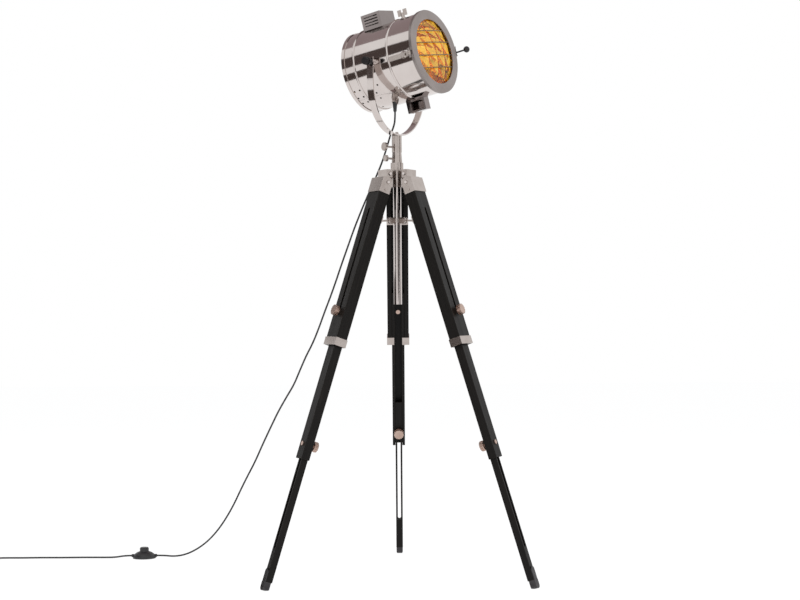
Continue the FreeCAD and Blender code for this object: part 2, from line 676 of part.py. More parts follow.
def make_leg(side, azimuth):
    frame = leg_frame(azimuth)
    outward = Placement(Vector(), Rotation(Y_AXIS, 90))
    inward = Placement(Vector(), Rotation(Y_AXIS, -90))
    outer_seat = VALUE["upper_thick"] / 2 + VALUE["seat_gap"]
    inner_seat = -VALUE["upper_thick"] / 2 + VALUE["slide_gap"] - VALUE["seat_gap"]
    node(upper_stage(side), f"leg_{side}_upper", frame)
    node(bracket(side), f"leg_{side}_bracket", frame)
    node(group(f"leg_{side}_bands", [ferrule(side), strap(side)]), f"leg_{side}_bands", frame)
    node(leg_screws(side), f"leg_{side}_screws", frame)
    node(link(side), f"leg_{side}_link", link_frame(azimuth))
    node(middle_stage(side), f"leg_{side}_mid", frame)
    node(lower_stage(side), f"leg_{side}_lower", frame)
    node(foot(side), f"leg_{side}_foot", frame)
    through_web = f"upper_thick / 2 + seat_gap - {MID_OUT} + mid_web + 0.1"
    node(clamp_knob(f"leg_{side}_upper_knob", through_web, "nut_radius"), f"leg_{side}_upper_knob",
         frame * Placement(Vector(outer_seat, 0, -VALUE["upper_bolt"]), Rotation()) * outward)
    through_stage = f"{MID_OUT} - {STAGE_IN} + seat_gap + 0.1"
    node(clamp_knob(f"leg_{side}_lower_knob", through_stage, "nut_radius"), f"leg_{side}_lower_knob",
         frame * Placement(Vector(inner_seat, 0, -VALUE["lower_bolt"]), Rotation()) * inward)


def tripod_head():
    """Three arms, sleeve, collar and tapered neck, in one casting."""
    bore = "column_radius + running_gap"
    pieces = [
        rod("hub_sleeve", f"{bore} + sleeve_wall", "z", "sleeve_bottom", "arm_top"),
        rod("hub_collar", "collar_radius", "z", "arm_top", "collar_top"),
        cone("hub_neck", "neck_bottom_radius", "neck_top_radius", "z", "collar_top", "neck_top"),
    ]
    holes = [rod("hub_bore", bore, "z", "sleeve_bottom - 1", "neck_top + 1")]
    half = "arm_width / 2"
    barrel_half = "upper_width / 2 - seat_gap"
    for side, azimuth in LEGS:
        arm = union(f"hub_arm_{side}", [
            block(f"hub_block_{side}", ("arm_inner", "arm_outer"), (f"-{half}", half), ("arm_bottom", "arm_top")),
            block(f"hub_web_{side}", ("column_radius", "arm_outer"), ("-arm_web / 2", "arm_web / 2"),
                  ("arm_bottom", "arm_top")),
            block(f"hub_lug_{side}", ("hinge_radius - barrel_radius", "hinge_radius + barrel_radius - 1"),
                  (f"-{half}", half), ("hinge_height", "arm_bottom + 3")),
            rod(f"hub_barrel_{side}", "barrel_radius", "y", f"-({barrel_half})", barrel_half,
                ("hinge_radius", "hinge_height")),
        ])
        arm.Placement = polar(azimuth)
        pieces.append(arm)
        holes.append(group(f"hub_holes_{side}", [
            rod(f"hub_hinge_bore_{side}", "hinge_bolt_radius + running_gap", "y", "-arm_width", "arm_width",
                ("hinge_radius", "hinge_height")),
            rod(f"hub_clamp_bore_{side}", "hinge_bolt_radius + running_gap", "y", "-arm_width", "arm_width",
                ("arm_inner + 7", "arm_bottom + 9")),
        ], polar(azimuth)))
    holes.append(group("hub_screw_hole", [
        rod("hub_screw_bore", "thumb_shank + running_gap", "x", "0", "30", ("0", "neck_screw_height"))],
        polar(VALUE["thumb_turn"])))
    return cut("hub_casting", union("hub_blank", pieces), holes)


def hub_bolts():
    """Leg hinge bolts and arm clamp bolts, each with a domed head and nut."""
    solids = []
    for side, azimuth in LEGS:
        for word, half, at in (("hinge", "upper_width / 2 + sheet + seat_gap", ("hinge_radius", "hinge_height")),
                               ("clamp", "arm_width / 2", ("arm_inner + 7", "arm_bottom + 9"))):
            name = f"{word}_bolt_{side}"
            bolt = union(name, [
                rod(name + "_shank", "hinge_bolt_radius", "y", f"-({half}) - 0.1", f"{half} + 0.1", at),
                cone(name + "_head", "3.4", "5", "y", f"-({half}) - 3.6", f"-({half})", at),
                cone(name + "_nut", "5", "3.4", "y", half, f"{half} + 3.6", at),
            ])
            bolt.Placement = polar(azimuth)
            solids.append(bolt)
    return group("hub_bolt_set", solids)


def thumb_screw(name, disc, reach, inner):
    """A coined disc on a slim shank, along x."""
    return union(name, [
        rod(name + "_shank", "thumb_shank", "x", inner, f"{reach} + 1"),
        rod(name + "_disc", disc, "x", reach, f"{reach} + thumb_thick"),
        rod(name + "_face", f"{disc} - 1.2", "x", f"{reach} - 0.8", f"{reach} + thumb_thick + 0.8"),
    ])


def column():
    outer = rod("column_outer", "column_radius", "z", "column_bottom", "column_top")
    bore = rod("column_bore", "column_radius - column_wall", "z", "column_bottom + column_plug", "column_top + 1")
    return cut("column_tube", outer, [bore])


def spreader_ring():
    low = "ring_height - ring_band / 2"
    high = "ring_height + ring_band / 2"
    pieces = [rod("ring_band_solid", "ring_radius", "z", low, high)]
    gap = "link_thick / 2 + seat_gap"
    fork_level = ("ring_height - fork_height / 2", "ring_height + fork_height / 2")
    for side, azimuth in LEGS:
        cheeks = []
        for word, y, tip in (("near", (f"-({gap}) - fork_sheet", f"-({gap})"), f"-({gap}) - fork_sheet - 1"),
                             ("far", (gap, f"{gap} + fork_sheet"), f"{gap} + fork_sheet")):
            cheeks.append(block(f"fork_{side}_{word}", ("ring_radius - 2", "fork_reach - 4"), y, fork_level))
            cheeks.append(rod(f"fork_{side}_{word}_end", "fork_height / 2", "y", *y,
                              ("fork_reach - fork_height / 2", "ring_height")))
            cheeks.append(rod(f"fork_{side}_{word}_rivet", "3.2", "y", tip, f"{tip} + 1",
                              ("ring_pivot", "ring_height")))
        fork = union(f"fork_{side}", cheeks)
        fork.Placement = polar(azimuth)
        pieces.append(fork)
    level = ("ring_height - fork_height", "ring_height + fork_height")
    cuts = [rod("ring_bore", "column_radius + seat_gap", "z", *level)]
    for side, azimuth in LEGS:
        notch = block(f"ring_notch_{side}", ("column_radius + 1.6", "fork_reach + 5"), (f"-({gap})", gap), level)
        cuts.append(group(f"ring_notch_{side}_turned", [notch], polar(azimuth)))
    return cut("ring_body", union("ring_blank", pieces), cuts)


def swivel_sleeve():
    blank = rod("swivel_blank", "swivel_radius", "z", "swivel_bottom", "swivel_top")
    return cut("swivel_tube", blank, [
        rod("swivel_bore", "column_radius + running_gap", "z", "swivel_bottom - 1", "column_top + 0.2"),
        rod("swivel_bolt_hole", "pivot_bolt + running_gap", "z", "column_top", "swivel_top + 1"),
        group("swivel_screw_hole", [
            rod("swivel_screw_bore", "thumb_shank + running_gap", "x", "0", "30", ("0", "thumb_height"))],
            polar(VALUE["thumb_turn"] - VALUE["head_turn"])),
    ])


def yoke_outline(offset):
    """Half of the yoke's curve, from an arm's top to the middle of its bottom, moved out by offset.

    A straight arm runs into a side bend and that into the bottom bend, all tangent.
    """
    half = VALUE["yoke_half"]
    bend = VALUE["yoke_bend"]
    bottom = VALUE["swivel_top"] + 0.1 + VALUE["yoke_sheet"] / 2
    drop = VALUE["yoke_shoulder"] - bottom - bend
    side = (half ** 2 + drop ** 2 - bend ** 2) / (2 * (half - bend))
    side_centre = Vector(0, half - side, VALUE["yoke_shoulder"])
    bottom_centre = Vector(0, 0, bottom + bend)
    meet = (bottom_centre - side_centre).normalize()
    top = Vector(0, half + offset, VALUE["pivot_height"] + VALUE["yoke_end"])
    shoulder = Vector(0, half + offset, VALUE["yoke_shoulder"])
    joint = side_centre + meet * (side + offset)
    side_middle = side_centre + (meet + Y_AXIS).normalize() * (side + offset)
    lowest = bottom_centre - Z_AXIS * (bend + offset)
    bottom_middle = bottom_centre + (meet - Z_AXIS).normalize() * (bend + offset)
    return top, shoulder, side_middle, joint, bottom_middle, lowest


def mirrored(point):
    return Vector(point.x, -point.y, point.z)


def yoke():
    """A flat strip bent to a U with three bends, drilled for the tilt bolts and the swivel bolt."""
    sheet_half = VALUE["yoke_sheet"] / 2
    edges = []
    for offset in (sheet_half, -sheet_half):
        top, shoulder, side_middle, joint, bottom_middle, lowest = yoke_outline(offset)
        edges += [
            Part.LineSegment(top, shoulder).toShape(),
            Part.Arc(shoulder, side_middle, joint).toShape(),
            Part.Arc(joint, bottom_middle, lowest).toShape(),
            Part.Arc(lowest, mirrored(bottom_middle), mirrored(joint)).toShape(),
            Part.Arc(mirrored(joint), mirrored(side_middle), mirrored(shoulder)).toShape(),
            Part.LineSegment(mirrored(shoulder), mirrored(top)).toShape(),
        ]
    outer_top = yoke_outline(sheet_half)[0]
    inner_top = yoke_outline(-sheet_half)[0]
    edges.append(Part.LineSegment(outer_top, inner_top).toShape())
    edges.append(Part.LineSegment(mirrored(outer_top), mirrored(inner_top)).toShape())
    face = Part.Face(Part.Wire(Part.__sortEdges__(edges)))
    width = VALUE["yoke_width"]
    strip = face.extrude(Vector(width, 0, 0))
    strip.translate(Vector(-width / 2, 0, 0))
    hole = VALUE["pivot_bolt"] + VALUE["running_gap"]
    reach = 2 * VALUE["yoke_half"] + 40
    across = Part.makeCylinder(hole, reach, Vector(0, -reach / 2, VALUE["pivot_height"]), Y_AXIS)
    down = Part.makeCylinder(hole, 30, Vector(0, 0, VALUE["swivel_top"] - 5), Z_AXIS)
    return shaped("yoke_strip", strip.cut(across).cut(down))


def yoke_bolts():
    """The swivel bolt under the drum and the plain tilt bolt on the far side."""
    floor = "swivel_top + 0.1 + yoke_sheet"
    out = "yoke_half + yoke_sheet / 2"
    swivel = union("swivel_bolt", [
        rod("swivel_bolt_shank", "pivot_bolt", "z", "column_top + 0.5", f"{floor} + 1"),
        rod("swivel_bolt_washer", "7", "z", f"{floor} + 0.3", f"{floor} + 1.4"),
        cone("swivel_bolt_nut", "5.6", "3.6", "z", f"{floor} + 1.4", f"{floor} + 6.5"),
    ])
    tilt = union("far_tilt_bolt", [
        rod("far_tilt_shank", "pivot_bolt", "y", "drum_radius + 2", f"{out} + 0.4", ("0", "pivot_height")),
        rod("far_tilt_washer", "8", "y", f"{out} + 0.1", f"{out} + 1.6", ("0", "pivot_height")),
        cone("far_tilt_head", "6.4", "4", "y", f"{out} + 1.6", f"{out} + 6.6", ("0", "pivot_height")),
    ])
    return group("yoke_bolt_set", [swivel, tilt])


def tilt_knob():
    """Along z, with its shoulder at z = 0 and the bolt reaching into the drum's boss."""
    head = fluted_knob("tilt_knob", "tilt_knob_radius", "tilt_knob_hub", "tilt_knob_hub + tilt_knob_head")
    return union("tilt_knob_solid", [
        head,
        cone("tilt_knob_shoulder", "7", "6", "z", "0", "tilt_knob_hub"),
        rod("tilt_knob_stud", "pivot_bolt", "z", "-(yoke_half + yoke_sheet / 2 + seat_gap - drum_radius - 2)",
            "tilt_knob_hub"),
    ])


def drum():
    """The spun housing with two rolled beads, tilt bosses, vent holes and the latch's keeper."""
    boss_end = "yoke_half - yoke_sheet / 2 - seat_gap"
    on_pivot = Placement(Vector(), Rotation(X_AXIS, -VALUE["drum_roll"])) * Placement(
        Vector(0, 0, -VALUE["drum_rise"]), Rotation())
    bosses = union("drum_bosses", [
        rod("drum_near_boss", "pivot_boss", "y", f"-({boss_end})", "5"),
        rod("drum_far_boss", "pivot_boss", "y", "-5", boss_end),
    ])
    bosses.Placement = on_pivot
    shell = union("drum_blank", [
        rod("drum_outer", "drum_radius", "x", "-drum_back", "drum_front"),
        hoop("drum_rear_bead", "drum_radius - 0.4", "bead_radius", "x", "-rear_bead"),
        hoop("drum_front_bead", "drum_radius - 0.4", "bead_radius", "x", "front_bead"),
        bosses,
        block("drum_keeper", ("latch_at - 15", "latch_at - 11.5"), ("drum_radius - 3", "drum_radius + 3.6"),
              ("-8", "8")),
    ])
    inside = rod("drum_inside", "drum_radius - drum_wall", "x", "-drum_back - 1", "drum_front + 1")
    bore = rod("drum_bore_rod", "pivot_bolt + running_gap", "y", "-2 * drum_radius", "2 * drum_radius")
    vents = []
    for turn, places in VENTS:
        for place in places:
            name = f"drum_vent_{-turn:.0f}_{-place:.0f}"
            hole = rod(name, "vent_radius", "z", "-drum_radius - 5", "-drum_radius + 5", (str(place), "0"))
            vents.append(group(name + "_turned", [hole], Placement(Vector(), Rotation(X_AXIS, turn))))
    hollow = cut("drum_hollow", shell, [inside, group("drum_tilt_bores", [bore], on_pivot)])
    return cut("drum_shell", hollow, vents)


def back_cover():
    rim = "drum_radius + running_gap"
    return revolved("back_cover", "XZ_Plane", "H_Axis", [
        ("-drum_back - 4.5", "0"), ("-drum_back - 4.5", "58"), ("-drum_back - 3", "82"),
        ("-drum_back - 1.6", f"{rim} + rim_wall"), ("-drum_back + 7", f"{rim} + rim_wall"),
        ("-drum_back + 7", rim), ("-drum_back", rim), ("-drum_back", "82"),
        ("-drum_back - 1.4", "80"), ("-drum_back - 2.9", "57"), ("-drum_back - 2.9", "0"),
    ])


def front_door():
    """The flat front ring with its rim, hinge knuckles, hinge pin and latch lugs."""
    ring = revolved("bezel_ring", "XZ_Plane", "H_Axis", [
        ("bezel_back", "bezel_radius - bezel_wall"), ("bezel_back", "bezel_radius"),
        ("bezel_front - 1", "bezel_radius"), ("bezel_front", "bezel_radius - 1"),
        ("bezel_front", "bezel_opening"), ("bezel_front - bezel_plate", "bezel_opening"),
        ("bezel_front - bezel_plate", "bezel_radius - bezel_wall"),
    ])
    pin = ("door_pin_at", "-door_pin_off")
    low = "knuckle_half + seat_gap"
    high = "knuckle_half + 6.5"
    pieces = [ring, rod("door_pin_solid", "door_pin", "z", f"-({high})", high, pin)]
    for word, z in (("upper", (low, high)), ("lower", (f"-({high})", f"-({low})"))):
        pieces.append(rod(f"door_knuckle_{word}", "knuckle_radius", "z", *z, pin))
        pieces.append(block(f"door_leaf_{word}", ("door_pin_at + 1", "bezel_front - 1.5"),
                            ("-door_pin_off", "-bezel_radius + 1.3"), z))
        lug = (f"9 + {VALUE['seat_gap']}", "12.5") if word == "upper" else ("-12.5", f"-9 - {VALUE['seat_gap']}")
        pieces.append(block(f"latch_lug_{word}", ("latch_at - 4", "latch_at + 4"),
                            ("bezel_radius - 1.3", "latch_off + 3.5"), lug))
    pieces.append(rod("latch_pin_solid", "2", "z", "-12.5", "12.5", ("latch_at", "latch_off")))
    return union("bezel_solid", pieces)


def guard_wires():
    """Four level wires that bow forward, with their ends behind the door's face."""
    radius = VALUE["wire_radius"]
    seat = VALUE["bezel_front"] - VALUE["bezel_plate"] - radius - 0.1
    wires = []
    for height in (52, 23, -9, -40):
        half = math.sqrt((VALUE["glass_radius"] - 1) ** 2 - height ** 2)
        ends = [Vector(seat, -half, height), Vector(seat, half, height)]
        arc = Part.Arc(ends[0], Vector(seat + VALUE["wire_bow"], 0, height), ends[1]).toShape()
        section = Part.Wire(Part.makeCircle(radius, ends[0], arc.tangentAt(arc.FirstParameter)))
        wires.append(Part.Wire(arc).makePipeShell([section], True, True))
    # A wire's ends lie flat on the glass, so what reaches into it or into the face is taken off.
    front = Part.makeCylinder(200, 50, Vector(VALUE["bezel_front"] - VALUE["bezel_plate"], 0, 0), X_AXIS)
    opening = Part.makeCylinder(VALUE["bezel_opening"] - 0.1, 50, Vector(seat, 0, 0), X_AXIS)
    glass = Part.makeCylinder(200, 50, Vector(seat - radius - 50, 0, 0), X_AXIS)
    return shaped("guard_wire_set", Part.makeCompound([wire.cut(front.cut(opening)).cut(glass) for wire in wires]))


def glass():
    front = "bezel_front - bezel_plate - 2 * wire_radius - 0.2"
    return group("glass_pane", [rod("glass_disc", "glass_radius", "x", f"{front} - glass_thick", front)])


def reflector():
    shell = [("104", "91"), ("86", "88"), ("61", "80"), ("34", "66"), ("10", "48"), ("-8", "26")]
    back = [(f"{f} - 0.8", f"{r} + 1.3") for f, r in reversed(shell)]
    flange = [("102.5", "drum_radius - drum_wall - 0.4"), ("104", "drum_radius - drum_wall - 0.4")]
    return revolved("reflector", "XZ_Plane", "H_Axis", shell + back[:-1] + [("102.5", "91.6")] + flange)


def lamp_holder():
    blank = union("holder_blank", [
        rod("holder_cup", "holder_radius", "x", "-60", "-20"),
        cone("holder_shoulder", "11", "holder_radius", "x", "-72", "-60"),
        rod("holder_post", "11", "x", "-drum_back - 2.9", "-72"),
    ])
    return cut("holder_solid", blank, [rod("holder_socket", "bulb_base + running_gap", "x", "-42", "-12")])


def bulb():
    return union("bulb_solid", [
        rod("bulb_screw_base", "bulb_base", "x", "-41.5", "-10"),
        cone("bulb_neck", "bulb_base", "bulb_radius - 4", "x", "-10", "18"),
        ball("bulb_globe", "bulb_radius", ("32", "0", "0")),
    ])


def vent_housings():
    """The louvred chimney on the drum's top and the ballast box under it."""
    clear = rod("housing_clear", "drum_radius + 0.1", "x", "-2 * drum_radius", "2 * drum_radius")
    top_cuts = [clear, block("chimney_inside", ("-46.5", "5"), ("-32", "32"), ("80", "132.4"))]
    for i in range(4):
        low = 104 + 7 * i
        top_cuts.append(block(f"chimney_louvre_{i}", ("-41", "-1"), ("-40", "40"), (str(low), str(low + 3))))
    chimney = cut("chimney", block("chimney_blank", ("-48.5", "7"), ("-34", "34"), ("80", "134.4")), top_cuts)
    box_cuts = [
        clear,
        hoop("ballast_bead", "drum_radius - 0.4", "bead_radius + 0.1", "x", "front_bead"),
        block("ballast_inside", ("14", "63"), ("-12", "6"), ("-129.5", "-80")),
        block("ballast_window", ("24", "61"), ("-20", "-5"), ("-127", "-105")),
    ]
    box = cut("ballast_box", block("ballast_blank", ("12", "65"), ("-14", "8"), ("-131.5", "-80")), box_cuts)
    return group("housing_set", [chimney, box])


def hinge_strap():
    """The strap along the drum's near side, its round boss and the middle hinge knuckle."""
    outer = "-drum_radius - 2.5"
    inner = "-drum_radius"
    pin = ("door_pin_at", "-door_pin_off")
    knuckle = ("-knuckle_half", "knuckle_half")
    pieces = [
        block("strap_plate", ("front_bead + 3", "door_pin_at - 2.5"), (outer, inner), ("-6", "6")),
        cone("strap_boss", "6", "9", "y", f"{outer} - 5", outer, ("90", "0")),
        block("strap_knee", ("door_pin_at - 9", "door_pin_at - 2.5"), ("-door_pin_off - 1", inner), knuckle),
        rod("strap_knuckle", "knuckle_radius", "z", *knuckle, pin),
    ]
    return cut("strap_solid", union("strap_blank", pieces), [
        rod("strap_pin_hole", "door_pin + running_gap", "z", "-20", "20", pin)])


def latch():
    """A barrel on the door with a hook behind the drum's keeper, and a lever with a ball."""
    hook_out = "latch_off - latch_barrel + 1"
    lever = doc.addObject("Part::Cylinder", "latch_lever")
    lever.Radius = 2.1
    start = Vector(VALUE["latch_at"] + 1, VALUE["latch_off"] + 3, -3)
    end = Vector(VALUE["latch_at"] + 17, VALUE["latch_off"] + 26, 0.3)
    lever.Height = (end - start).Length
    lever.Placement = Placement(start, Rotation(Z_AXIS, end - start))
    pieces = [
        rod("latch_barrel_solid", "latch_barrel", "z", "-9", "9", ("latch_at", "latch_off")),
        block("latch_hook", ("latch_at - 20", "latch_at"), (f"{hook_out} - 2.4", hook_out), ("-5", "5")),
        block("latch_tooth", ("latch_at - 20", "latch_at - 16"), ("drum_radius + 4", hook_out), ("-5", "5")),
        lever,
        ball("latch_ball", "8", ("latch_at + 19", "latch_off + 29", "0.6")),
    ]
    return cut("latch_solid", union("latch_blank", pieces), [
        rod("latch_bore", "2 + running_gap", "z", "-20", "20", ("latch_at", "latch_off"))])


def wing_screw(name, place):
    """A hand screw with two upright wings, standing on the drum along z."""
    low = "drum_radius + 0.1"
    return group(name + "_turned", [union(name, [
        rod(name + "_washer", "7", "z", f"{low} + 0.4", f"{low} + 2.4"),
        rod(name + "_barrel", "4.4", "z", f"{low} + 0.4", f"{low} + 15"),
        block(name + "_left_wing", ("-1.3", "1.3"), ("3", "13"), (f"{low} + 9", f"{low} + 23")),
        block(name + "_right_wing", ("-1.3", "1.3"), ("-13", "-3"), (f"{low} + 9", f"{low} + 23")),
        block(name + "_bridge", ("-1.3", "1.3"), ("-13", "13"), (f"{low} + 7", f"{low} + 12")),
    ])], place)


def gland():
    """The cord's nut on the drum and the tapered strain relief, which hangs straight down."""
    normal = Vector(0, -0.285, -0.958).normalize()
    seat = Vector(-0.8, 0, 0) + normal * (VALUE["drum_radius"] + 0.1)
    level = head_frame().Rotation.inverted()
    down = level.multVec(Vector(0, 0, -1))
    drum_side = Part.makeCylinder(VALUE["drum_radius"] + 0.1, 60, Vector(-40, 0, 0), X_AXIS)
    nut = Part.makeCylinder(8, 6, seat - normal * 0.4, normal).cut(drum_side)
    dome = Part.makeSphere(6.2, seat + normal * 6)
    tail_start = seat + normal * 6
    end = head_frame().inverse().multVec(Vector(*CORD_DROP[0]))
    tail = Part.makeCone(6.2, VALUE["cord_diameter"] / 2 + 1.7, (end - tail_start).Length, tail_start, end - tail_start)
    square = Part.makeCylinder(30, 30, end, down)
    return shaped("gland_solid", nut.fuse([dome, tail]).cut(square).removeSplitter())


def cord_tube(name, points):
    """A round cord of straight runs and tangent arcs through the route."""
    route = [Vector(*point) for point in points]
    edges = []
    radii = []
    last = route[0]
    for before, corner, after in zip(route, route[1:], route[2:]):
        to_corner = corner - before
        from_corner = after - corner
        turn = to_corner.getAngle(from_corner)
        shorter = min(to_corner.Length, from_corner.Length)
        radii.append(0.45 * shorter / math.tan(turn / 2))
        entry = corner - to_corner.normalize() * (0.45 * shorter)
        leave = corner + from_corner.normalize() * (0.45 * shorter)
        towards = ((entry + leave) * 0.5 - corner).normalize()
        middle = corner + towards * (radii[-1] / math.cos(turn / 2) - radii[-1])
        edges.append(Part.LineSegment(last, entry).toShape())
        edges.append(Part.Arc(entry, middle, leave).toShape())
        last = leave
    edges.append(Part.LineSegment(last, route[-1]).toShape())
    path = Part.Wire(edges)
    section = Part.Wire(Part.makeCircle(VALUE["cord_diameter"] / 2, route[0], route[1] - route[0]))
    tube = path.makePipeShell([section], True, True)
    expected = math.pi * VALUE["cord_diameter"] ** 2 / 4 * path.Length
    print(name, "length", round(path.Length, 1), "volume ratio", round(tube.Volume / expected, 5),
          "radii", [round(radius) for radius in radii])
    return shaped(name + "_tube", tube)


def biarc(start, start_way, end, end_way):
    """Two arcs that leave start along start_way and reach end along end_way."""
    span = end - start
    both = start_way + end_way
    spread = 2 * (1 - start_way.dot(end_way))
    reach = (math.sqrt(span.dot(both) ** 2 + spread * span.dot(span)) - span.dot(both)) / spread
    first = start + start_way * reach
    second = end - end_way * reach
    meet = (first + second) * 0.5
    arcs = []
    for low, peak, high in ((start, first, meet), (meet, second, end)):
        chord = high - low
        half_turn = (peak - low).getAngle(chord)
        centre = (low + high) * 0.5
        rise = chord.Length / 2 * math.tan(half_turn / 2)
        arcs.append(Part.Arc(low, centre + (peak - centre).normalize() * rise, high).toShape())
    return arcs


def half_turn(start, radius, heading):
    """A level half turn to the left: its arc and its end."""
    way = Vector(heading, 0, 0)
    centre = start + Z_AXIS.cross(way) * radius
    end = start + Z_AXIS.cross(way) * (2 * radius)
    return Part.Arc(start, centre + way * radius, end).toShape(), end


def cord_coil():
    """The put-away cord: in along the floor, up a layer in the inner half turn, and out again."""
    pitch = VALUE["coil_pitch"]
    start = Vector(*CORD_LEAD[-1])
    heading = -1
    here = Vector(COIL_CENTRE_X, start.y, start.z)
    edges = [Part.LineSegment(start, here).toShape()]
    for step in range(COIL_HALF_TURNS):
        arc, here = half_turn(here, VALUE["coil_radius"] - step * pitch / 2, heading)
        edges.append(arc)
        heading = -heading
    inner = VALUE["coil_radius"] - COIL_HALF_TURNS * pitch / 2
    way = Vector(heading, 0, 0)
    left = Z_AXIS.cross(way)
    quarter = here + left * inner + way * inner + Z_AXIS * (pitch / 2)
    climb = (left * (math.pi * inner) + Z_AXIS * pitch).normalize()
    top = here + left * (2 * inner) + Z_AXIS * pitch
    edges += biarc(here, way, quarter, climb) + biarc(quarter, climb, top, way * -1)
    here = top
    heading = -heading
    for step in reversed(range(1, COIL_HALF_TURNS)):
        arc, here = half_turn(here, VALUE["coil_radius"] - step * pitch / 2, heading)
        edges.append(arc)
        heading = -heading
    edges.append(Part.LineSegment(here, here + Vector(heading * VALUE["coil_tail"], 0, 0)).toShape())
    path = Part.Wire(edges)
    section = Part.Wire(Part.makeCircle(VALUE["cord_diameter"] / 2, start, here.sub(here) + Vector(-1, 0, 0)))
    tube = path.makePipeShell([section], True, False)
    expected = math.pi * VALUE["cord_diameter"] ** 2 / 4 * path.Length
    print("cord_coil length", round(path.Length, 1), "volume ratio", round(tube.Volume / expected, 5),
          "least gap to itself", round(least_gap(path, VALUE["cord_diameter"]), 3))
    end = here + Vector(heading * VALUE["coil_tail"], 0, 0)
    return shaped("cord_coil_tube", tube), end


def least_gap(path, diameter):
    """The least distance between the surfaces of turns that are not neighbours along the path."""
    points = path.discretize(Distance=2.0)
    apart = int(4 * diameter / 2)
    nearest = 1000.0
    for i, point in enumerate(points):
        for other in points[i + apart:]:
            nearest = min(nearest, point.distanceToPoint(other))
    return nearest - diameter


def foot_switch():
    """A low domed case on the floor with short cord boots."""
    at_x = VALUE["switch_x"]
    at_y = VALUE["switch_y"]
    height = VALUE["switch_height"]
    case = Part.makeSphere(1.0)
    stretch = FreeCAD.Matrix()
    stretch.scale(VALUE["switch_half"] - 1, VALUE["switch_depth"], height)
    dome = case.transformGeometry(stretch)
    dome.translate(Vector(at_x, at_y, 0))
    floor = Part.makeBox(200, 200, 60, Vector(at_x - 100, at_y - 100, -60))
    base = Part.makeCylinder(1.0, 1.0)
    flat = FreeCAD.Matrix()
    flat.scale(VALUE["switch_half"] - 1, VALUE["switch_depth"], 5)
    skirt = base.transformGeometry(flat)
    skirt.translate(Vector(at_x, at_y, 0))
    boots = Part.makeCylinder(4.2, 2 * VALUE["switch_half"] + 4,
                              Vector(at_x - VALUE["switch_half"] - 2, at_y, VALUE["inlet_height"]), X_AXIS)
    solid = dome.cut(floor).fuse([skirt, boots])
    well = Part.makeCylinder(VALUE["button_radius"] + 0.4, 40, Vector(at_x, at_y, 12), Z_AXIS)
    return shaped("switch_case", solid.cut(well))


def switch_button():
    at = ("switch_x", "switch_y")
    return union("button_solid", [
        rod("button_body", "button_radius", "z", "16", "button_top - 2", at),
        cone("button_crown", "button_radius", "button_radius - 2.5", "z", "button_top - 2", "button_top", at),
    ])


def plug(end):
    """A flat two-pin plug that lies on the floor, its cord entry facing the coil."""
    height = end.z
    thick = 2 * height
    tail = Part.makeCone(VALUE["cord_diameter"] / 2 + 0.5, 4.6, 20, end, Vector(-1, 0, 0))
    body_start = end.x - 18
    half = VALUE["plug_width"] / 2
    outline_points = [
        Vector(body_start, end.y - 6, 0), Vector(body_start, end.y + 6, 0),
        Vector(body_start - 14, end.y + half, 0), Vector(body_start - VALUE["plug_length"], end.y + half, 0),
        Vector(body_start - VALUE["plug_length"], end.y - half, 0), Vector(body_start - 14, end.y - half, 0),
    ]
    face = Part.Face(Part.makePolygon(outline_points + outline_points[:1]))
    body = face.extrude(Vector(0, 0, thick)).fuse(tail).removeSplitter()
    pins = []
    for side in (-1, 1):
        at = Vector(body_start - VALUE["plug_length"], end.y + side * VALUE["pin_pitch"] / 2, height)
        pins.append(Part.makeCylinder(VALUE["pin_radius"], VALUE["pin_length"], at, Vector(-1, 0, 0)))
    return shaped("plug_set", Part.makeCompound([body] + pins))


# Tripod
for leg_side, leg_azimuth in LEGS:
    make_leg(leg_side, leg_azimuth)
node(tripod_head(), "hub", HOME)
node(hub_bolts(), "hub_bolts", HOME)
node(thumb_screw("neck_screw_solid", "neck_disc", "neck_reach", "column_radius + 0.3"), "neck_screw",
     HOME * Placement(Vector(0, 0, VALUE["neck_screw_height"]), Rotation(Z_AXIS, VALUE["thumb_turn"])))
node(column(), "column", HOME)
node(spreader_ring(), "spreader_ring", HOME)

# Swivel sleeve and yoke
node(swivel_sleeve(), "swivel_sleeve", yoke_frame())
node(thumb_screw("swivel_screw_solid", "thumb_disc", "thumb_reach", "column_radius + 0.3"), "swivel_screw",
     HOME * Placement(Vector(0, 0, VALUE["thumb_height"]), Rotation(Z_AXIS, VALUE["thumb_turn"])))
node(yoke(), "yoke", yoke_frame())
node(yoke_bolts(), "yoke_bolts", yoke_frame())
knob_seat = Vector(0, -VALUE["yoke_half"] - VALUE["yoke_sheet"] / 2 - VALUE["seat_gap"], VALUE["pivot_height"])
node(tilt_knob(), "tilt_knob", yoke_frame() * Placement(knob_seat, Rotation(X_AXIS, 90)))

# Drum
head = head_frame() * Placement(Vector(), Rotation(X_AXIS, VALUE["drum_roll"]))
node(drum(), "drum", head)
node(back_cover(), "back_cover", head)
node(front_door(), "bezel", head)
node(glass(), "glass", head)
node(guard_wires(), "guard_wires", head)
node(reflector(), "reflector", head)
node(lamp_holder(), "lamp_holder", head)
node(bulb(), "bulb", head)
node(vent_housings(), "vent_housings", head)
node(hinge_strap(), "hinge_strap", head)
node(latch(), "latch", head)
top_place = Placement(Vector(52, 0, 0), Rotation(Z_AXIS, 90))
low_place = Placement(Vector(19, 0, 0), Rotation(X_AXIS, 142))
node(group("wing_screw_set", [wing_screw("top_wing", top_place), wing_screw("low_wing", low_place)]),
     "wing_screws", head)
node(gland(), "gland", head_frame())

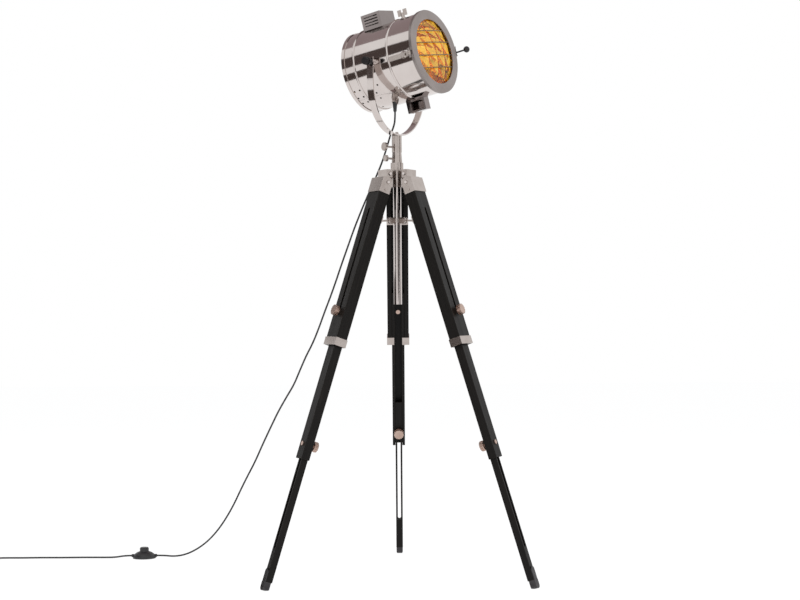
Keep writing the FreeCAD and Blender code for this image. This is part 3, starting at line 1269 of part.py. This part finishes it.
# Cord
node(cord_tube("cord_drop", CORD_DROP), "cord_drop", Placement())
node(cord_tube("cord_fall", CORD_FALL), "cord_fall", Placement())
node(cord_tube("cord_lead", CORD_LEAD), "cord_lead", Placement())
coil, coil_end = cord_coil()
node(coil, "cord_coil", Placement())
node(plug(coil_end), "plug", Placement())
node(foot_switch(), "foot_switch", Placement())
node(switch_button(), "switch_button", Placement())

doc.recompute()
for item in doc.Objects:
    if "Invalid" in item.State or "Error" in item.State:
        raise RuntimeError(f"{item.Label} is {item.State}")
for item in nodes:
    if item.Shape.isNull() or not item.Shape.isValid() or not item.Shape.Solids:
        raise RuntimeError(f"{item.Label} has no valid shape")
os.makedirs("parts", exist_ok=True)
for item in nodes:
    item.Shape.exportStep(f"parts/{item.Label}.step")
print(len(nodes), "nodes", sum(len(item.Shape.Solids) for item in nodes), "solids")
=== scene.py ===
import math

import bmesh
import bpy
from mathutils import Matrix, Vector


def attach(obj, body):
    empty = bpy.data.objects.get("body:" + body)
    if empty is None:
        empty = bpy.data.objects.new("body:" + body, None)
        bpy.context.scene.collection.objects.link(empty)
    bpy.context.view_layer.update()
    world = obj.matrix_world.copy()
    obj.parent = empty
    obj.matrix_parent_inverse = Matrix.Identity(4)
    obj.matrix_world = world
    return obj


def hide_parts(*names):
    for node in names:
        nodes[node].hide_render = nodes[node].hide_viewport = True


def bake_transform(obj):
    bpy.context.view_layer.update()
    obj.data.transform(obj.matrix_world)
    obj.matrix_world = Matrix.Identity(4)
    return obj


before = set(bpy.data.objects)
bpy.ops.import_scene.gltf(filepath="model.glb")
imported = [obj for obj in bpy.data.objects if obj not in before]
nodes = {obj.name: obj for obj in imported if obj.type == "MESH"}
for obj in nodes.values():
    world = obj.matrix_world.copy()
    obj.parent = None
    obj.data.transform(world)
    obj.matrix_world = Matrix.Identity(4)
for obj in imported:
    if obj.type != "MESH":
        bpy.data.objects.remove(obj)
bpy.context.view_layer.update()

# The tripod's axis and the main places on it, in metres, as the CAD part has them.
AXIS_Y = -0.093
HINGE_RADIUS = 0.043
HINGE_HEIGHT = 0.984
LEG_TILT = math.radians(18.8)
LEG_AZIMUTHS = {"left": 210, "right": 330, "back": 90}
PIVOT_HEIGHT = 1.2755
DRUM_RISE = 0.009
HEAD_TURN = math.radians(-33.4)
HEAD_LIFT = math.radians(10)
DRUM_ROLL = math.radians(8)
CORD_RADIUS = 0.00225

# The photograph's view: a level camera in front of the tripod.
PHOTO_WIDTH = 800
FOCAL_PIXELS = 1596
CAMERA_DISTANCE = 4.0
CAMERA_HEIGHT = 0.692
CAMERA_ROLL = math.radians(0.41)
AXIS_LEFT_PIXELS = 2.1

LEG_FRAMES = {
    side: Matrix.Translation((0, AXIS_Y, 0)) @ Matrix.Rotation(math.radians(azimuth), 4, "Z")
    @ Matrix.Translation((HINGE_RADIUS, 0, HINGE_HEIGHT)) @ Matrix.Rotation(-LEG_TILT, 4, "Y")
    for side, azimuth in LEG_AZIMUTHS.items()
}
LEVEL_HEAD = (Matrix.Translation((0, AXIS_Y, PIVOT_HEIGHT)) @ Matrix.Rotation(HEAD_TURN, 4, "Z")
              @ Matrix.Rotation(-HEAD_LIFT, 4, "Y") @ Matrix.Translation((0, 0, DRUM_RISE)))
HEAD_FRAME = LEVEL_HEAD @ Matrix.Rotation(DRUM_ROLL, 4, "X")


# Camera

def make_camera():
    data = bpy.data.cameras.new("photo_camera")
    data.sensor_width = 36
    data.lens = FOCAL_PIXELS / PHOTO_WIDTH * data.sensor_width
    data.clip_end = 50
    camera = bpy.data.objects.new("photo_camera", data)
    bpy.context.scene.collection.objects.link(camera)
    level = Matrix.Rotation(math.radians(90), 4, "X")
    yaw = Matrix.Rotation(-AXIS_LEFT_PIXELS / FOCAL_PIXELS, 4, "Z")
    roll = Matrix.Rotation(-CAMERA_ROLL, 4, "Z")
    place = Matrix.Translation((0, AXIS_Y - CAMERA_DISTANCE, CAMERA_HEIGHT))
    camera.matrix_world = place @ yaw @ level @ roll
    bpy.context.scene.camera = camera


make_camera()


# Cords. The routes are the CAD part's own points.

def millimetres(points):
    return [Vector(point) / 1000 for point in points]


DROP_AND_FALL = millimetres([
    (-3.8, -125, 1160), (-3.8, -125, 1139.2), (-7.5, -112, 1124), (-14.5, -91.5, 1110), (-21, -84.5, 1089),
    (-28, -84, 1066), (-36, -83, 1042), (-44, -81.5, 1022), (-52, -79, 1004),
    (-60, -76.5, 986), (-75, -69, 954), (-91, -61.5, 918), (-110, -52, 872),
    (-127, -41.5, 826), (-143, -31, 783), (-157, -22, 743), (-171, -13, 705), (-187.5, -4, 664),
    (-204, 6, 620), (-220, 15, 582), (-238, 23.5, 549), (-255, 32.5, 511), (-271, 42, 474),
    (-293, 52, 439), (-314, 63, 403), (-334, 74, 363), (-357, 85.5, 316), (-378, 98, 270),
    (-401, 110, 228), (-420, 121.5, 191), (-438, 132, 154), (-459, 147, 118), (-484, 165, 82),
    (-513, 186, 50), (-546, 207, 24.5), (-579, 221.5, 8), (-610, 225.5, 2.9),
    (-637, 221, 6.5), (-656, 221, 6.5),
])
LEAD = millimetres([
    (-724, 221, 6.5), (-743, 221, 6.5), (-768, 218.5, 2.6), (-806, 221, 2.3), (-856, 224, 2.3),
    (-910, 221.5, 2.3), (-966, 224.5, 2.3), (-1018, 222, 2.3), (-1064, 224.5, 2.3), (-1093, 221, 2.3),
])
HEAD_CORD_END = 1.107
YOKE_CORD_END = 1.035
COIL_CENTRE_X = -1.121
COIL_START_Y = 0.221
COIL_FLOOR = 0.0023
COIL_OUTER = 0.0304
COIL_PITCH = 0.00495
COIL_HALF_TURNS = 5
COIL_TAIL = 0.034
POINTS_PER_TURN = 16


def spline_object(name, points):
    data = bpy.data.curves.new(name, "CURVE")
    data.dimensions = "3D"
    data.resolution_u = 12
    spline = data.splines.new("NURBS")
    spline.points.add(len(points) - 1)
    for slot, point in zip(spline.points, points):
        slot.co = (*point, 1)
    spline.order_u = 3
    spline.use_endpoint_u = True
    thing = bpy.data.objects.new(name, data)
    bpy.context.scene.collection.objects.link(thing)
    return thing


def route_line(points):
    """The smooth line of a NURBS spline through the route."""
    thing = spline_object("route", points)
    mesh = bpy.data.meshes.new_from_object(thing.evaluated_get(bpy.context.evaluated_depsgraph_get()))
    line = [vertex.co.copy() for vertex in mesh.vertices]
    bpy.data.meshes.remove(mesh)
    data = thing.data
    bpy.data.objects.remove(thing)
    bpy.data.curves.remove(data)
    return line


def tube_mesh(name, line, radius, sides=14):
    """A closed round tube along a line, with flat ends."""
    made = bmesh.new()
    rings = []
    normal = Vector((0, 0, 1)).cross(line[1] - line[0])
    if normal.length < 1e-9:
        normal = Vector((1, 0, 0))
    for i, point in enumerate(line):
        way = (line[min(i + 1, len(line) - 1)] - line[max(i - 1, 0)]).normalized()
        normal = (normal - way * normal.dot(way)).normalized()
        across = way.cross(normal)
        rings.append([made.verts.new(point + (normal * math.cos(a) + across * math.sin(a)) * radius)
                      for a in (2 * math.pi * k / sides for k in range(sides))])
    for low, high in zip(rings, rings[1:]):
        for k in range(sides):
            made.faces.new((low[k], low[(k + 1) % sides], high[(k + 1) % sides], high[k]))
    made.faces.new(rings[0])
    made.faces.new(rings[-1])
    bmesh.ops.recalc_face_normals(made, faces=made.faces)
    mesh = bpy.data.meshes.new(name)
    made.to_mesh(mesh)
    made.free()
    mesh.shade_smooth()
    thing = bpy.data.objects.new(name, mesh)
    bpy.context.scene.collection.objects.link(thing)
    return thing


def make_cords():
    line = route_line(DROP_AND_FALL)
    first = next(i for i, point in enumerate(line) if point.z < HEAD_CORD_END)
    second = next(i for i, point in enumerate(line) if point.z < YOKE_CORD_END)
    parts = {"cord_below_spotlight": line[:first + 1], "cord_beside_neck": line[first:second + 1],
             "cord_hanging": line[second:]}
    made = {name: tube_mesh(name, part, CORD_RADIUS) for name, part in parts.items()}
    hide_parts("cord_drop")
    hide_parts("cord_fall")
    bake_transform(made["cord_below_spotlight"])
    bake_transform(made["cord_beside_neck"])
    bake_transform(made["cord_hanging"])
    return made


def coil_points():
    """The put-away turns: in on the floor, up a layer in the inner half turn, and out on top."""
    points = []
    step = math.pi / (POINTS_PER_TURN // 2)
    centre = Vector((COIL_CENTRE_X, COIL_START_Y - COIL_OUTER, COIL_FLOOR))
    half_turns = 2 * COIL_HALF_TURNS
    for i in range(half_turns * POINTS_PER_TURN // 2 + 1):
        turned = i * step
        halves = turned / math.pi
        inward = min(halves, half_turns - halves)
        climb = min(1, max(0, halves - COIL_HALF_TURNS + 0.5))
        inward = min(inward, COIL_HALF_TURNS)
        radius = (COIL_OUTER - inward * COIL_PITCH / 2) / math.cos(step / 2)
        points.append(centre + Vector((-math.sin(turned) * radius, math.cos(turned) * radius,
                                       climb * COIL_PITCH)))
    return points


def make_lead():
    turns = coil_points()
    end = turns[-1]
    tail = [end + Vector((-COIL_TAIL * share, 0, 0)) for share in (0.5, 1)]
    line = route_line(LEAD + turns + tail)
    lead = tube_mesh("cord_lead_and_coil", line, CORD_RADIUS)
    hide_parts("cord_lead", "cord_coil")
    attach(lead, "hub")
    return lead


cords = make_cords()
cords["cord_lead_and_coil"] = make_lead()


# Stage

def ray_is_seen(tree):
    """1 for rays of the camera, of reflections and through glass."""
    path = tree.nodes.new("ShaderNodeLightPath")
    first = tree.nodes.new("ShaderNodeMath")
    first.operation = "MAXIMUM"
    second = tree.nodes.new("ShaderNodeMath")
    second.operation = "MAXIMUM"
    tree.links.new(path.outputs["Is Camera Ray"], first.inputs[0])
    tree.links.new(path.outputs["Is Glossy Ray"], first.inputs[1])
    tree.links.new(first.outputs[0], second.inputs[0])
    tree.links.new(path.outputs["Is Transmission Ray"], second.inputs[1])
    return second.outputs[0]


def make_world():
    world = bpy.data.worlds.new("studio")
    bpy.context.scene.world = world
    world.use_nodes = True
    tree = world.node_tree
    tree.nodes.clear()
    seen = tree.nodes.new("ShaderNodeBackground")
    seen.inputs["Color"].default_value = (1, 1, 1, 1)
    seen.inputs["Strength"].default_value = 1.0
    light = tree.nodes.new("ShaderNodeBackground")
    light.inputs["Color"].default_value = (0.95, 0.97, 1, 1)
    light.inputs["Strength"].default_value = 0.55
    mix = tree.nodes.new("ShaderNodeMixShader")
    out = tree.nodes.new("ShaderNodeOutputWorld")
    tree.links.new(ray_is_seen(tree), mix.inputs[0])
    tree.links.new(light.outputs[0], mix.inputs[1])
    tree.links.new(seen.outputs[0], mix.inputs[2])
    tree.links.new(mix.outputs[0], out.inputs[0])


FLOOR_HALF = 9.0
FLOOR_BELOW = 0.0004
FLOOR_GLOW = 1.08
FLOOR_GLOW_SHARE = 0.86


def make_floor():
    mesh = bpy.data.meshes.new("floor")
    half = FLOOR_HALF
    corners = [(-half, -half), (half, -half), (half, half), (-half, half)]
    mesh.from_pydata([(x, y, -FLOOR_BELOW) for x, y in corners], [], [(0, 1, 2, 3)])
    floor = bpy.data.objects.new("floor", mesh)
    bpy.context.scene.collection.objects.link(floor)
    material = bpy.data.materials.new("floor")
    material.use_nodes = True
    tree = material.node_tree
    tree.nodes.clear()
    diffuse = tree.nodes.new("ShaderNodeBsdfDiffuse")
    diffuse.inputs["Color"].default_value = (0.86, 0.86, 0.86, 1)
    glow = tree.nodes.new("ShaderNodeEmission")
    glow.inputs["Strength"].default_value = FLOOR_GLOW
    half_glow = tree.nodes.new("ShaderNodeMixShader")
    half_glow.inputs[0].default_value = FLOOR_GLOW_SHARE
    mix = tree.nodes.new("ShaderNodeMixShader")
    out = tree.nodes.new("ShaderNodeOutputMaterial")
    tree.links.new(diffuse.outputs[0], half_glow.inputs[1])
    tree.links.new(glow.outputs[0], half_glow.inputs[2])
    tree.links.new(ray_is_seen(tree), mix.inputs[0])
    tree.links.new(diffuse.outputs[0], mix.inputs[1])
    tree.links.new(half_glow.outputs[0], mix.inputs[2])
    tree.links.new(mix.outputs[0], out.inputs[0])
    mesh.materials.append(material)


def make_lamp(name, place, target, size, power, colour=(1, 1, 1)):
    data = bpy.data.lights.new(name, "AREA")
    data.shape = "RECTANGLE"
    data.size, data.size_y = size
    data.energy = power
    data.color = colour
    lamp = bpy.data.objects.new(name, data)
    lamp.location = place
    lamp.rotation_euler = (Vector(target) - Vector(place)).to_track_quat("-Z", "Y").to_euler()
    lamp.visible_glossy = False
    bpy.context.scene.collection.objects.link(lamp)


def make_card(name, place, target, size, colour):
    """A studio card that only reflections see."""
    width, height = size
    mesh = bpy.data.meshes.new(name)
    mesh.from_pydata([(-width / 2, -height / 2, 0), (width / 2, -height / 2, 0), (width / 2, height / 2, 0),
                      (-width / 2, height / 2, 0)], [], [(0, 1, 2, 3)])
    card = bpy.data.objects.new(name, mesh)
    card.location = place
    card.rotation_euler = (Vector(target) - Vector(place)).to_track_quat("-Z", "Y").to_euler()
    bpy.context.scene.collection.objects.link(card)
    material = bpy.data.materials.new(name)
    material.use_nodes = True
    tree = material.node_tree
    tree.nodes.clear()
    glow = tree.nodes.new("ShaderNodeEmission")
    glow.inputs["Color"].default_value = (*colour, 1)
    out = tree.nodes.new("ShaderNodeOutputMaterial")
    tree.links.new(glow.outputs[0], out.inputs[0])
    mesh.materials.append(material)
    card.visible_camera = False
    card.visible_diffuse = False
    card.visible_shadow = False
    card.visible_transmission = False


make_world()
make_floor()
make_lamp("key", (-2.2, -3.2, 3.0), (0, -0.1, 0.9), (1.6, 1.6), 95, (1, 0.99, 0.97))
make_lamp("fill", (2.6, -2.6, 1.8), (0, -0.1, 0.8), (1.8, 1.8), 45, (0.97, 0.98, 1))
make_lamp("back", (0.6, 2.8, 2.6), (0, -0.1, 0.9), (1.4, 1.4), 45)
# What the polished drum mirrors, from the floor up: dark, light, dark, white, and a mauve ceiling.
LEFT = -3.0
for name, low, high, colour in (("low_band", 0.0, 0.80, (0.075, 0.058, 0.052)),
                                ("shade_band", 1.58, 2.88, (0.085, 0.066, 0.062))):
    make_card(name, (LEFT, -0.4, (low + high) / 2), (0, -0.4, (low + high) / 2), (5.2, high - low), colour)
make_card("floor_band", (LEFT + 0.24, -0.6, 0.01), (LEFT + 0.24, -0.6, 1), (0.46, 4.6), (0.075, 0.058, 0.052))
make_card("ceiling", (-0.6, 1.9, 4.7), (-0.6, 1.9, 0), (5.6, 4.4), (0.34, 0.275, 0.28))
make_card("back_band", (-0.6, 4.0, 3.6), (-0.6, 0, 3.6), (5.6, 2.1), (0.34, 0.275, 0.28))
make_card("front_band", (1.2, -3.6, 0.95), (0, 0, 1.3), (2.6, 0.5), (0.06, 0.048, 0.046))
make_card("right_band", (3.4, -1.2, 1.6), (0, 0, 1.3), (1.0, 2.6), (0.16, 0.13, 0.125))

bpy.context.scene.view_settings.view_transform = "Standard"


# Materials

class Shader:
    """A material's node tree, with short names for what is used again and again."""

    def __init__(self, name, **sockets):
        self.material = bpy.data.materials.new(name)
        self.material.use_nodes = True
        self.tree = self.material.node_tree
        self.principled = self.tree.nodes["Principled BSDF"]
        for socket, value in sockets.items():
            self.principled.inputs[socket.replace("_", " ")].default_value = value
        self.place = self.node("ShaderNodeTexCoord").outputs["Object"]

    def node(self, kind, **settings):
        made = self.tree.nodes.new(kind)
        for name, value in settings.items():
            setattr(made, name, value)
        return made

    def link(self, start, end):
        self.tree.links.new(start, end)

    def mapped(self, scale=(1, 1, 1), rotation=(0, 0, 0)):
        """Coordinates turned first and then scaled."""
        turn = self.node("ShaderNodeVectorRotate", rotation_type="EULER_XYZ")
        turn.inputs["Rotation"].default_value = rotation
        self.link(self.place, turn.inputs["Vector"])
        stretch = self.node("ShaderNodeVectorMath", operation="MULTIPLY")
        stretch.inputs[1].default_value = scale
        self.link(turn.outputs[0], stretch.inputs[0])
        return stretch.outputs[0]

    def noise(self, vector, scale, detail=3.0, roughness=0.55):
        made = self.node("ShaderNodeTexNoise")
        made.inputs["Scale"].default_value = scale
        made.inputs["Detail"].default_value = detail
        made.inputs["Roughness"].default_value = roughness
        self.link(vector, made.inputs["Vector"])
        return made.outputs["Fac"]

    def ramp(self, value, stops):
        made = self.node("ShaderNodeValToRGB")
        ramp = made.color_ramp
        while len(ramp.elements) < len(stops):
            ramp.elements.new(0.5)
        for element, (position, colour) in zip(ramp.elements, stops):
            element.position = position
            element.color = (*colour, 1) if hasattr(colour, "__len__") else (colour, colour, colour, 1)
        self.link(value, made.inputs["Fac"])
        return made.outputs["Color"]

    def spread(self, value, low, high):
        made = self.node("ShaderNodeMapRange")
        made.inputs["To Min"].default_value = low
        made.inputs["To Max"].default_value = high
        self.link(value, made.inputs["Value"])
        return made.outputs["Result"]

    def mix(self, factor, first, second):
        made = self.node("ShaderNodeMix", data_type="RGBA")
        self.link(factor, made.inputs["Factor"])
        for socket, value in (("A", first), ("B", second)):
            target = [s for s in made.inputs if s.name == socket and s.type == "RGBA"][0]
            if isinstance(value, bpy.types.NodeSocket):
                self.link(value, target)
            else:
                target.default_value = (*value, 1)
        return [s for s in made.outputs if s.type == "RGBA"][0]

    def edges(self, radius):
        """How far a surface point is worn: 1 on sharp edges and 0 on flats."""
        bevel = self.node("ShaderNodeBevel", samples=4)
        bevel.inputs["Radius"].default_value = radius
        flat = self.node("ShaderNodeNewGeometry")
        dot = self.node("ShaderNodeVectorMath", operation="DOT_PRODUCT")
        self.link(bevel.outputs[0], dot.inputs[0])
        self.link(flat.outputs["Normal"], dot.inputs[1])
        made = self.node("ShaderNodeMapRange")
        made.inputs["From Min"].default_value = 0.995
        made.inputs["From Max"].default_value = 0.85
        self.link(dot.outputs["Value"], made.inputs["Value"])
        return made.outputs["Result"]

    def bump(self, height, distance, strength=1.0, normal=None):
        made = self.node("ShaderNodeBump")
        made.inputs["Distance"].default_value = distance
        made.inputs["Strength"].default_value = strength
        self.link(height, made.inputs["Height"])
        if normal is not None:
            self.link(normal, made.inputs["Normal"])
        self.link(made.outputs[0], self.principled.inputs["Normal"])
        return made.outputs[0]

    def set(self, socket, value):
        self.link(value, self.principled.inputs[socket])


def metal(name, colour, tint, rough, smooth_bump=0.00002, cloud=9.0):
    """Plated metal: cloudy roughness, faint polish lines and a slightly warmer tint in places."""
    made = Shader(name, Metallic=1.0)
    clouds = made.noise(made.mapped(), cloud, 4.0)
    fine = made.noise(made.mapped(), 260.0, 2.0)
    made.set("Base Color", made.mix(made.spread(clouds, -0.3, 1.3), colour, tint))
    both = made.node("ShaderNodeMath", operation="MULTIPLY")
    made.link(made.spread(clouds, 0.7, 1.3), both.inputs[0])
    made.link(made.spread(fine, rough[0], rough[1]), both.inputs[1])
    made.set("Roughness", both.outputs[0])
    made.bump(made.noise(made.mapped(), 34.0, 2.0), smooth_bump)
    return made.material


def black_wood(side):
    """Black stained wood whose grain runs along one leg."""
    turned = (LEG_FRAMES[side].to_3x3().inverted()).to_euler("XYZ")
    made = Shader(f"black_wood_{side}", Specular_IOR_Level=0.17)
    streaks = made.noise(made.mapped((1, 1, 0.045), turned), 420.0, 5.0, 0.62)
    broad = made.noise(made.mapped((1, 1, 0.09), turned), 60.0, 3.0)
    colour = made.ramp(streaks, [(0.25, (0.0032, 0.0027, 0.0024)), (0.62, (0.0075, 0.0061, 0.0052)),
                                 (0.9, (0.022, 0.0165, 0.0125))])
    worn = made.edges(0.0012)
    scratch = made.noise(made.mapped((1, 1, 0.3), turned), 90.0, 4.0)
    rub = made.node("ShaderNodeMath", operation="MULTIPLY")
    made.link(worn, rub.inputs[0])
    made.link(made.spread(scratch, -0.5, 1.1), rub.inputs[1])
    made.set("Base Color", made.mix(rub.outputs[0], colour, (0.075, 0.055, 0.042)))
    made.set("Roughness", made.spread(broad, 0.3, 0.56))
    made.bump(streaks, 0.00012, 0.7)
    return made.material


def plastic(name, colour, light, rough, grain=900.0):
    made = Shader(name)
    texture = made.noise(made.mapped(), grain, 2.0)
    clouds = made.noise(made.mapped(), 40.0, 3.0)
    made.set("Base Color", made.mix(clouds, colour, light))
    made.set("Roughness", made.spread(clouds, rough[0], rough[1]))
    made.bump(texture, 0.00006, 0.6)
    return made.material


NICKEL = metal("polished_nickel", (0.66, 0.61, 0.59), (0.57, 0.51, 0.485), (0.06, 0.12))
COPPERY = metal("knob_nickel", (0.55, 0.43, 0.375), (0.42, 0.28, 0.225), (0.16, 0.28), 0.00005, 60.0)
FITTING = metal("nickel_fittings", (0.50, 0.45, 0.425), (0.40, 0.345, 0.315), (0.14, 0.24), 0.00005, 30.0)
SATIN = metal("satin_nickel", (0.35, 0.31, 0.295), (0.29, 0.255, 0.245), (0.36, 0.46), 0.00003, 14.0)
# The vent housings are nickel. This darkened copy of the nickel paints in the dark surroundings their faces
# reflect, so it is a painted reflection.
HOUSING_PAINTED_DARK_REFLECTION = metal("housing_nickel_painted_dark_reflection", (0.30, 0.262, 0.255), (0.20, 0.172, 0.165), (0.12, 0.2))
# The guard wires' brown-gold colour is a painted reflection of the gold reflector behind them, not the wires'
# own metal colour.
WIRE_PAINTED_GOLD_REFLECTION = metal("wire_metal_painted_gold_reflection", (0.30, 0.19, 0.09), (0.2, 0.13, 0.07), (0.16, 0.26))
DARK = metal("dark_metal", (0.075, 0.072, 0.075), (0.045, 0.043, 0.045), (0.28, 0.4), 0.00004, 60.0)
GOLD = metal("gold_reflector", (1.0, 0.64, 0.09), (0.96, 0.46, 0.03), (0.17, 0.27), 0.00006, 50.0)
BLACK = plastic("black_plastic", (0.012, 0.012, 0.013), (0.024, 0.024, 0.025), (0.32, 0.5))
JACKET = plastic("cord_jacket", (0.014, 0.014, 0.015), (0.03, 0.03, 0.03), (0.4, 0.6), 1500.0)
WOODS = {side: black_wood(side) for side in LEG_FRAMES}


def glass_material(name, tint=(1, 1, 1)):
    made = Shader(name, Transmission_Weight=1.0, IOR=1.18, Base_Color=(*tint, 1))
    made.set("Roughness", made.spread(made.noise(made.mapped(), 20.0), 0.0, 0.03))
    return made.material


GLASS = glass_material("clear_glass")
BULB_GLASS = glass_material("bulb_glass", (1, 0.98, 0.93))


# Pieces with more detail than the CAD part's own meshes. Their sizes are in millimetres.

REFLECTOR_SIDES = 15
REFLECTOR_PROFILE = [(104, 98.9), (104, 91), (90, 89), (72, 84), (52, 75.5), (31, 63), (11, 47.7), (-8, 26)]
REFLECTOR_WALL_BACK = 0.9
REFLECTOR_WALL_OUT = 1.1
GLAND_RIBS = 6
BULB_CENTRE = 32
BULB_GLOBE = 29.6
BULB_STEPS = 18
THREAD_TURNS = 7
THREAD_PITCH = 3.4
FILAMENT_RING = 10
FILAMENT_COIL = 1.3
FILAMENT_STEPS = 96
FILAMENT_STEPS_PER_TURN = 12
FILAMENT_PART_OF_TURN = 0.8
FILAMENT_WIRE = 0.0004


def swept_rings(name, frame_at, rings, sides, smooth=True, twist=0.0):
    """A skin through rings along x, each (x, radius) in millimetres; a zero radius closes it to a point."""
    mesh = bmesh.new()
    loops = []
    for step, (along, radius) in enumerate(rings):
        count = 1 if radius == 0 else sides
        loop = []
        for i in range(count):
            angle = 2 * math.pi * (i + twist * step) / sides
            point = Vector((along, radius * math.cos(angle), radius * math.sin(angle))) / 1000
            loop.append(mesh.verts.new(frame_at @ point))
        loops.append(loop)
    for first, second in zip(loops, loops[1:]):
        for i in range(sides):
            quad = [first[i % len(first)], first[(i + 1) % len(first)], second[(i + 1) % len(second)],
                    second[i % len(second)]]
            corners = list(dict.fromkeys(quad))
            if len(corners) > 2:
                mesh.faces.new(corners)
    for loop in (loops[0], loops[-1]):
        if len(loop) > 1:
            mesh.faces.new(loop)
    bmesh.ops.recalc_face_normals(mesh, faces=mesh.faces)
    data = bpy.data.meshes.new(name)
    for face in mesh.faces:
        face.smooth = smooth
    mesh.to_mesh(data)
    mesh.free()
    made = bpy.data.objects.new(name, data)
    bpy.context.scene.collection.objects.link(made)
    return made


def make_reflector():
    """Hammered gold panels in rings, with a rolled lip, as an open shell with a thickness."""
    rim = REFLECTOR_PROFILE[0]
    back = [(along - REFLECTOR_WALL_BACK, radius + REFLECTOR_WALL_OUT)
            for along, radius in reversed(REFLECTOR_PROFILE[1:])]
    back += [(103.1, rim[1]), rim]
    made = swept_rings("faceted_reflector", HEAD_FRAME, REFLECTOR_PROFILE + back, REFLECTOR_SIDES, smooth=False,
                       twist=0.5)
    cleaned = bmesh.new()
    cleaned.from_mesh(made.data)
    caps = [face for face in cleaned.faces if len(face.verts) > 4]
    bmesh.ops.delete(cleaned, geom=caps, context="FACES_ONLY")
    bmesh.ops.remove_doubles(cleaned, verts=cleaned.verts, dist=0.00001)
    bmesh.ops.recalc_face_normals(cleaned, faces=cleaned.faces)
    cleaned.to_mesh(made.data)
    cleaned.free()
    made.data.materials.append(GOLD)
    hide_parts("reflector")
    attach(made, "head")


def make_gland():
    """A hexagon nut on the drum and a ribbed strain relief that tapers to the cord."""
    normal = Vector((0, -0.285, -0.958)).normalized()
    seat = Vector((-0.0008, 0, 0)) + normal * 0.1012
    start = LEVEL_HEAD @ seat
    end = DROP_AND_FALL[0]
    out = (LEVEL_HEAD.to_3x3() @ normal).normalized()
    nut_at = Matrix.Translation(start + out * 0.0008) @ out.to_track_quat("X", "Z").to_matrix().to_4x4()
    nut = swept_rings("gland_nut", nut_at, [(0, 7.2), (0.5, 7.8), (4.6, 7.8), (5.4, 7.0)], 6, smooth=False)
    nut.data.materials.append(FITTING)
    tail_start = start + out * 0.0058
    way = (end - tail_start).normalized()
    length = (end - tail_start).length * 1000
    tail_at = Matrix.Translation(tail_start) @ way.to_track_quat("X", "Z").to_matrix().to_4x4()
    rings = [(-2.5, 5.8), (0, 6.6), (2.0, 6.2)]
    for rib in range(GLAND_RIBS):
        along = 2.6 + (length - 3.4) * rib / GLAND_RIBS
        radius = 6.1 - 1.9 * rib / GLAND_RIBS
        step = (length - 3.4) / GLAND_RIBS
        rings += [(along, radius), (along + step * 0.5, radius - 0.15), (along + step * 0.6, radius - 0.9),
                  (along + step * 0.85, radius - 0.95)]
    rings += [(length - 0.6, 3.9), (length, 3.4)]
    tail = swept_rings("strain_relief", tail_at, rings, 28)
    tail.data.materials.append(BLACK)
    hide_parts("gland")
    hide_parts("gland")
    for piece in (nut, tail):
        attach(piece, "head")


def make_bulb():
    """A clear globe on a threaded base, with its stem and a bright coiled filament."""
    globe = []
    for step in range(BULB_STEPS + 1):
        angle = math.radians(-62 + 152 * step / BULB_STEPS)
        globe.append((BULB_CENTRE + BULB_GLOBE * math.sin(angle), BULB_GLOBE * math.cos(angle)))
    globe[-1] = (61.6, 0)
    skin = swept_rings("bulb_globe", HEAD_FRAME, [(-9.6, 12.2), (-2, 12.6)] + globe, 40)
    skin.data.materials.append(BULB_GLASS)
    thread = [(-41, 6), (-39, 10)]
    for turn in range(THREAD_TURNS):
        thread += [(-38 + turn * THREAD_PITCH, 12.7), (-36.3 + turn * THREAD_PITCH, 11.5)]
    base = swept_rings("bulb_base", HEAD_FRAME, thread + [(-13, 12.8), (-9.8, 12.9)], 32)
    base.data.materials.append(FITTING)
    stem = swept_rings("bulb_stem", HEAD_FRAME, [(-9, 7), (0, 4.5), (12, 2.6), (20, 3.2), (21, 0)], 20)
    stem.data.materials.append(BULB_GLASS)
    line = []
    for step in range(FILAMENT_STEPS + 1):
        angle = 2 * math.pi * step / FILAMENT_STEPS_PER_TURN
        ring = 2 * math.pi * step / FILAMENT_STEPS * FILAMENT_PART_OF_TURN
        around = FILAMENT_RING + FILAMENT_COIL * math.cos(angle)
        line.append(HEAD_FRAME @ (Vector((33 + FILAMENT_COIL * math.sin(angle), around * math.cos(ring),
                                          around * math.sin(ring))) / 1000))
    filament = tube_mesh("bulb_filament", line, FILAMENT_WIRE, 6)
    filament.data.materials.append(FITTING)
    for piece in (skin, base, stem, filament):
        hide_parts("bulb")
        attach(piece, "head")


make_reflector()
make_gland()
make_bulb()

LOOKS = {
    "hub": FITTING, "hub_bolts": NICKEL, "neck_screw": FITTING, "column": NICKEL, "spreader_ring": FITTING,
    "swivel_sleeve": FITTING, "swivel_screw": FITTING, "yoke": NICKEL, "yoke_bolts": NICKEL,
    "tilt_knob": DARK, "drum": NICKEL, "back_cover": NICKEL, "bezel": SATIN, "glass": GLASS,
    "guard_wires": WIRE_PAINTED_GOLD_REFLECTION, "reflector": GOLD, "lamp_holder": BLACK, "bulb": BULB_GLASS,
    "vent_housings": HOUSING_PAINTED_DARK_REFLECTION, "hinge_strap": FITTING, "latch": DARK, "wing_screws": FITTING,
    "gland": BLACK, "plug": BLACK, "foot_switch": BLACK, "switch_button": BLACK,
}
for side in LEG_FRAMES:
    for stage in ("upper", "mid", "lower"):
        LOOKS[f"leg_{side}_{stage}"] = WOODS[side]
    for fitting in ("bracket", "bands", "screws", "link"):
        LOOKS[f"leg_{side}_{fitting}"] = FITTING
    for knob in ("upper_knob", "lower_knob"):
        LOOKS[f"leg_{side}_{knob}"] = COPPERY
    LOOKS[f"leg_{side}_foot"] = DARK
for name, look in LOOKS.items():
    nodes[name].data.materials.clear()
    nodes[name].data.materials.append(look)
for cord in cords.values():
    cord.data.materials.append(JACKET)
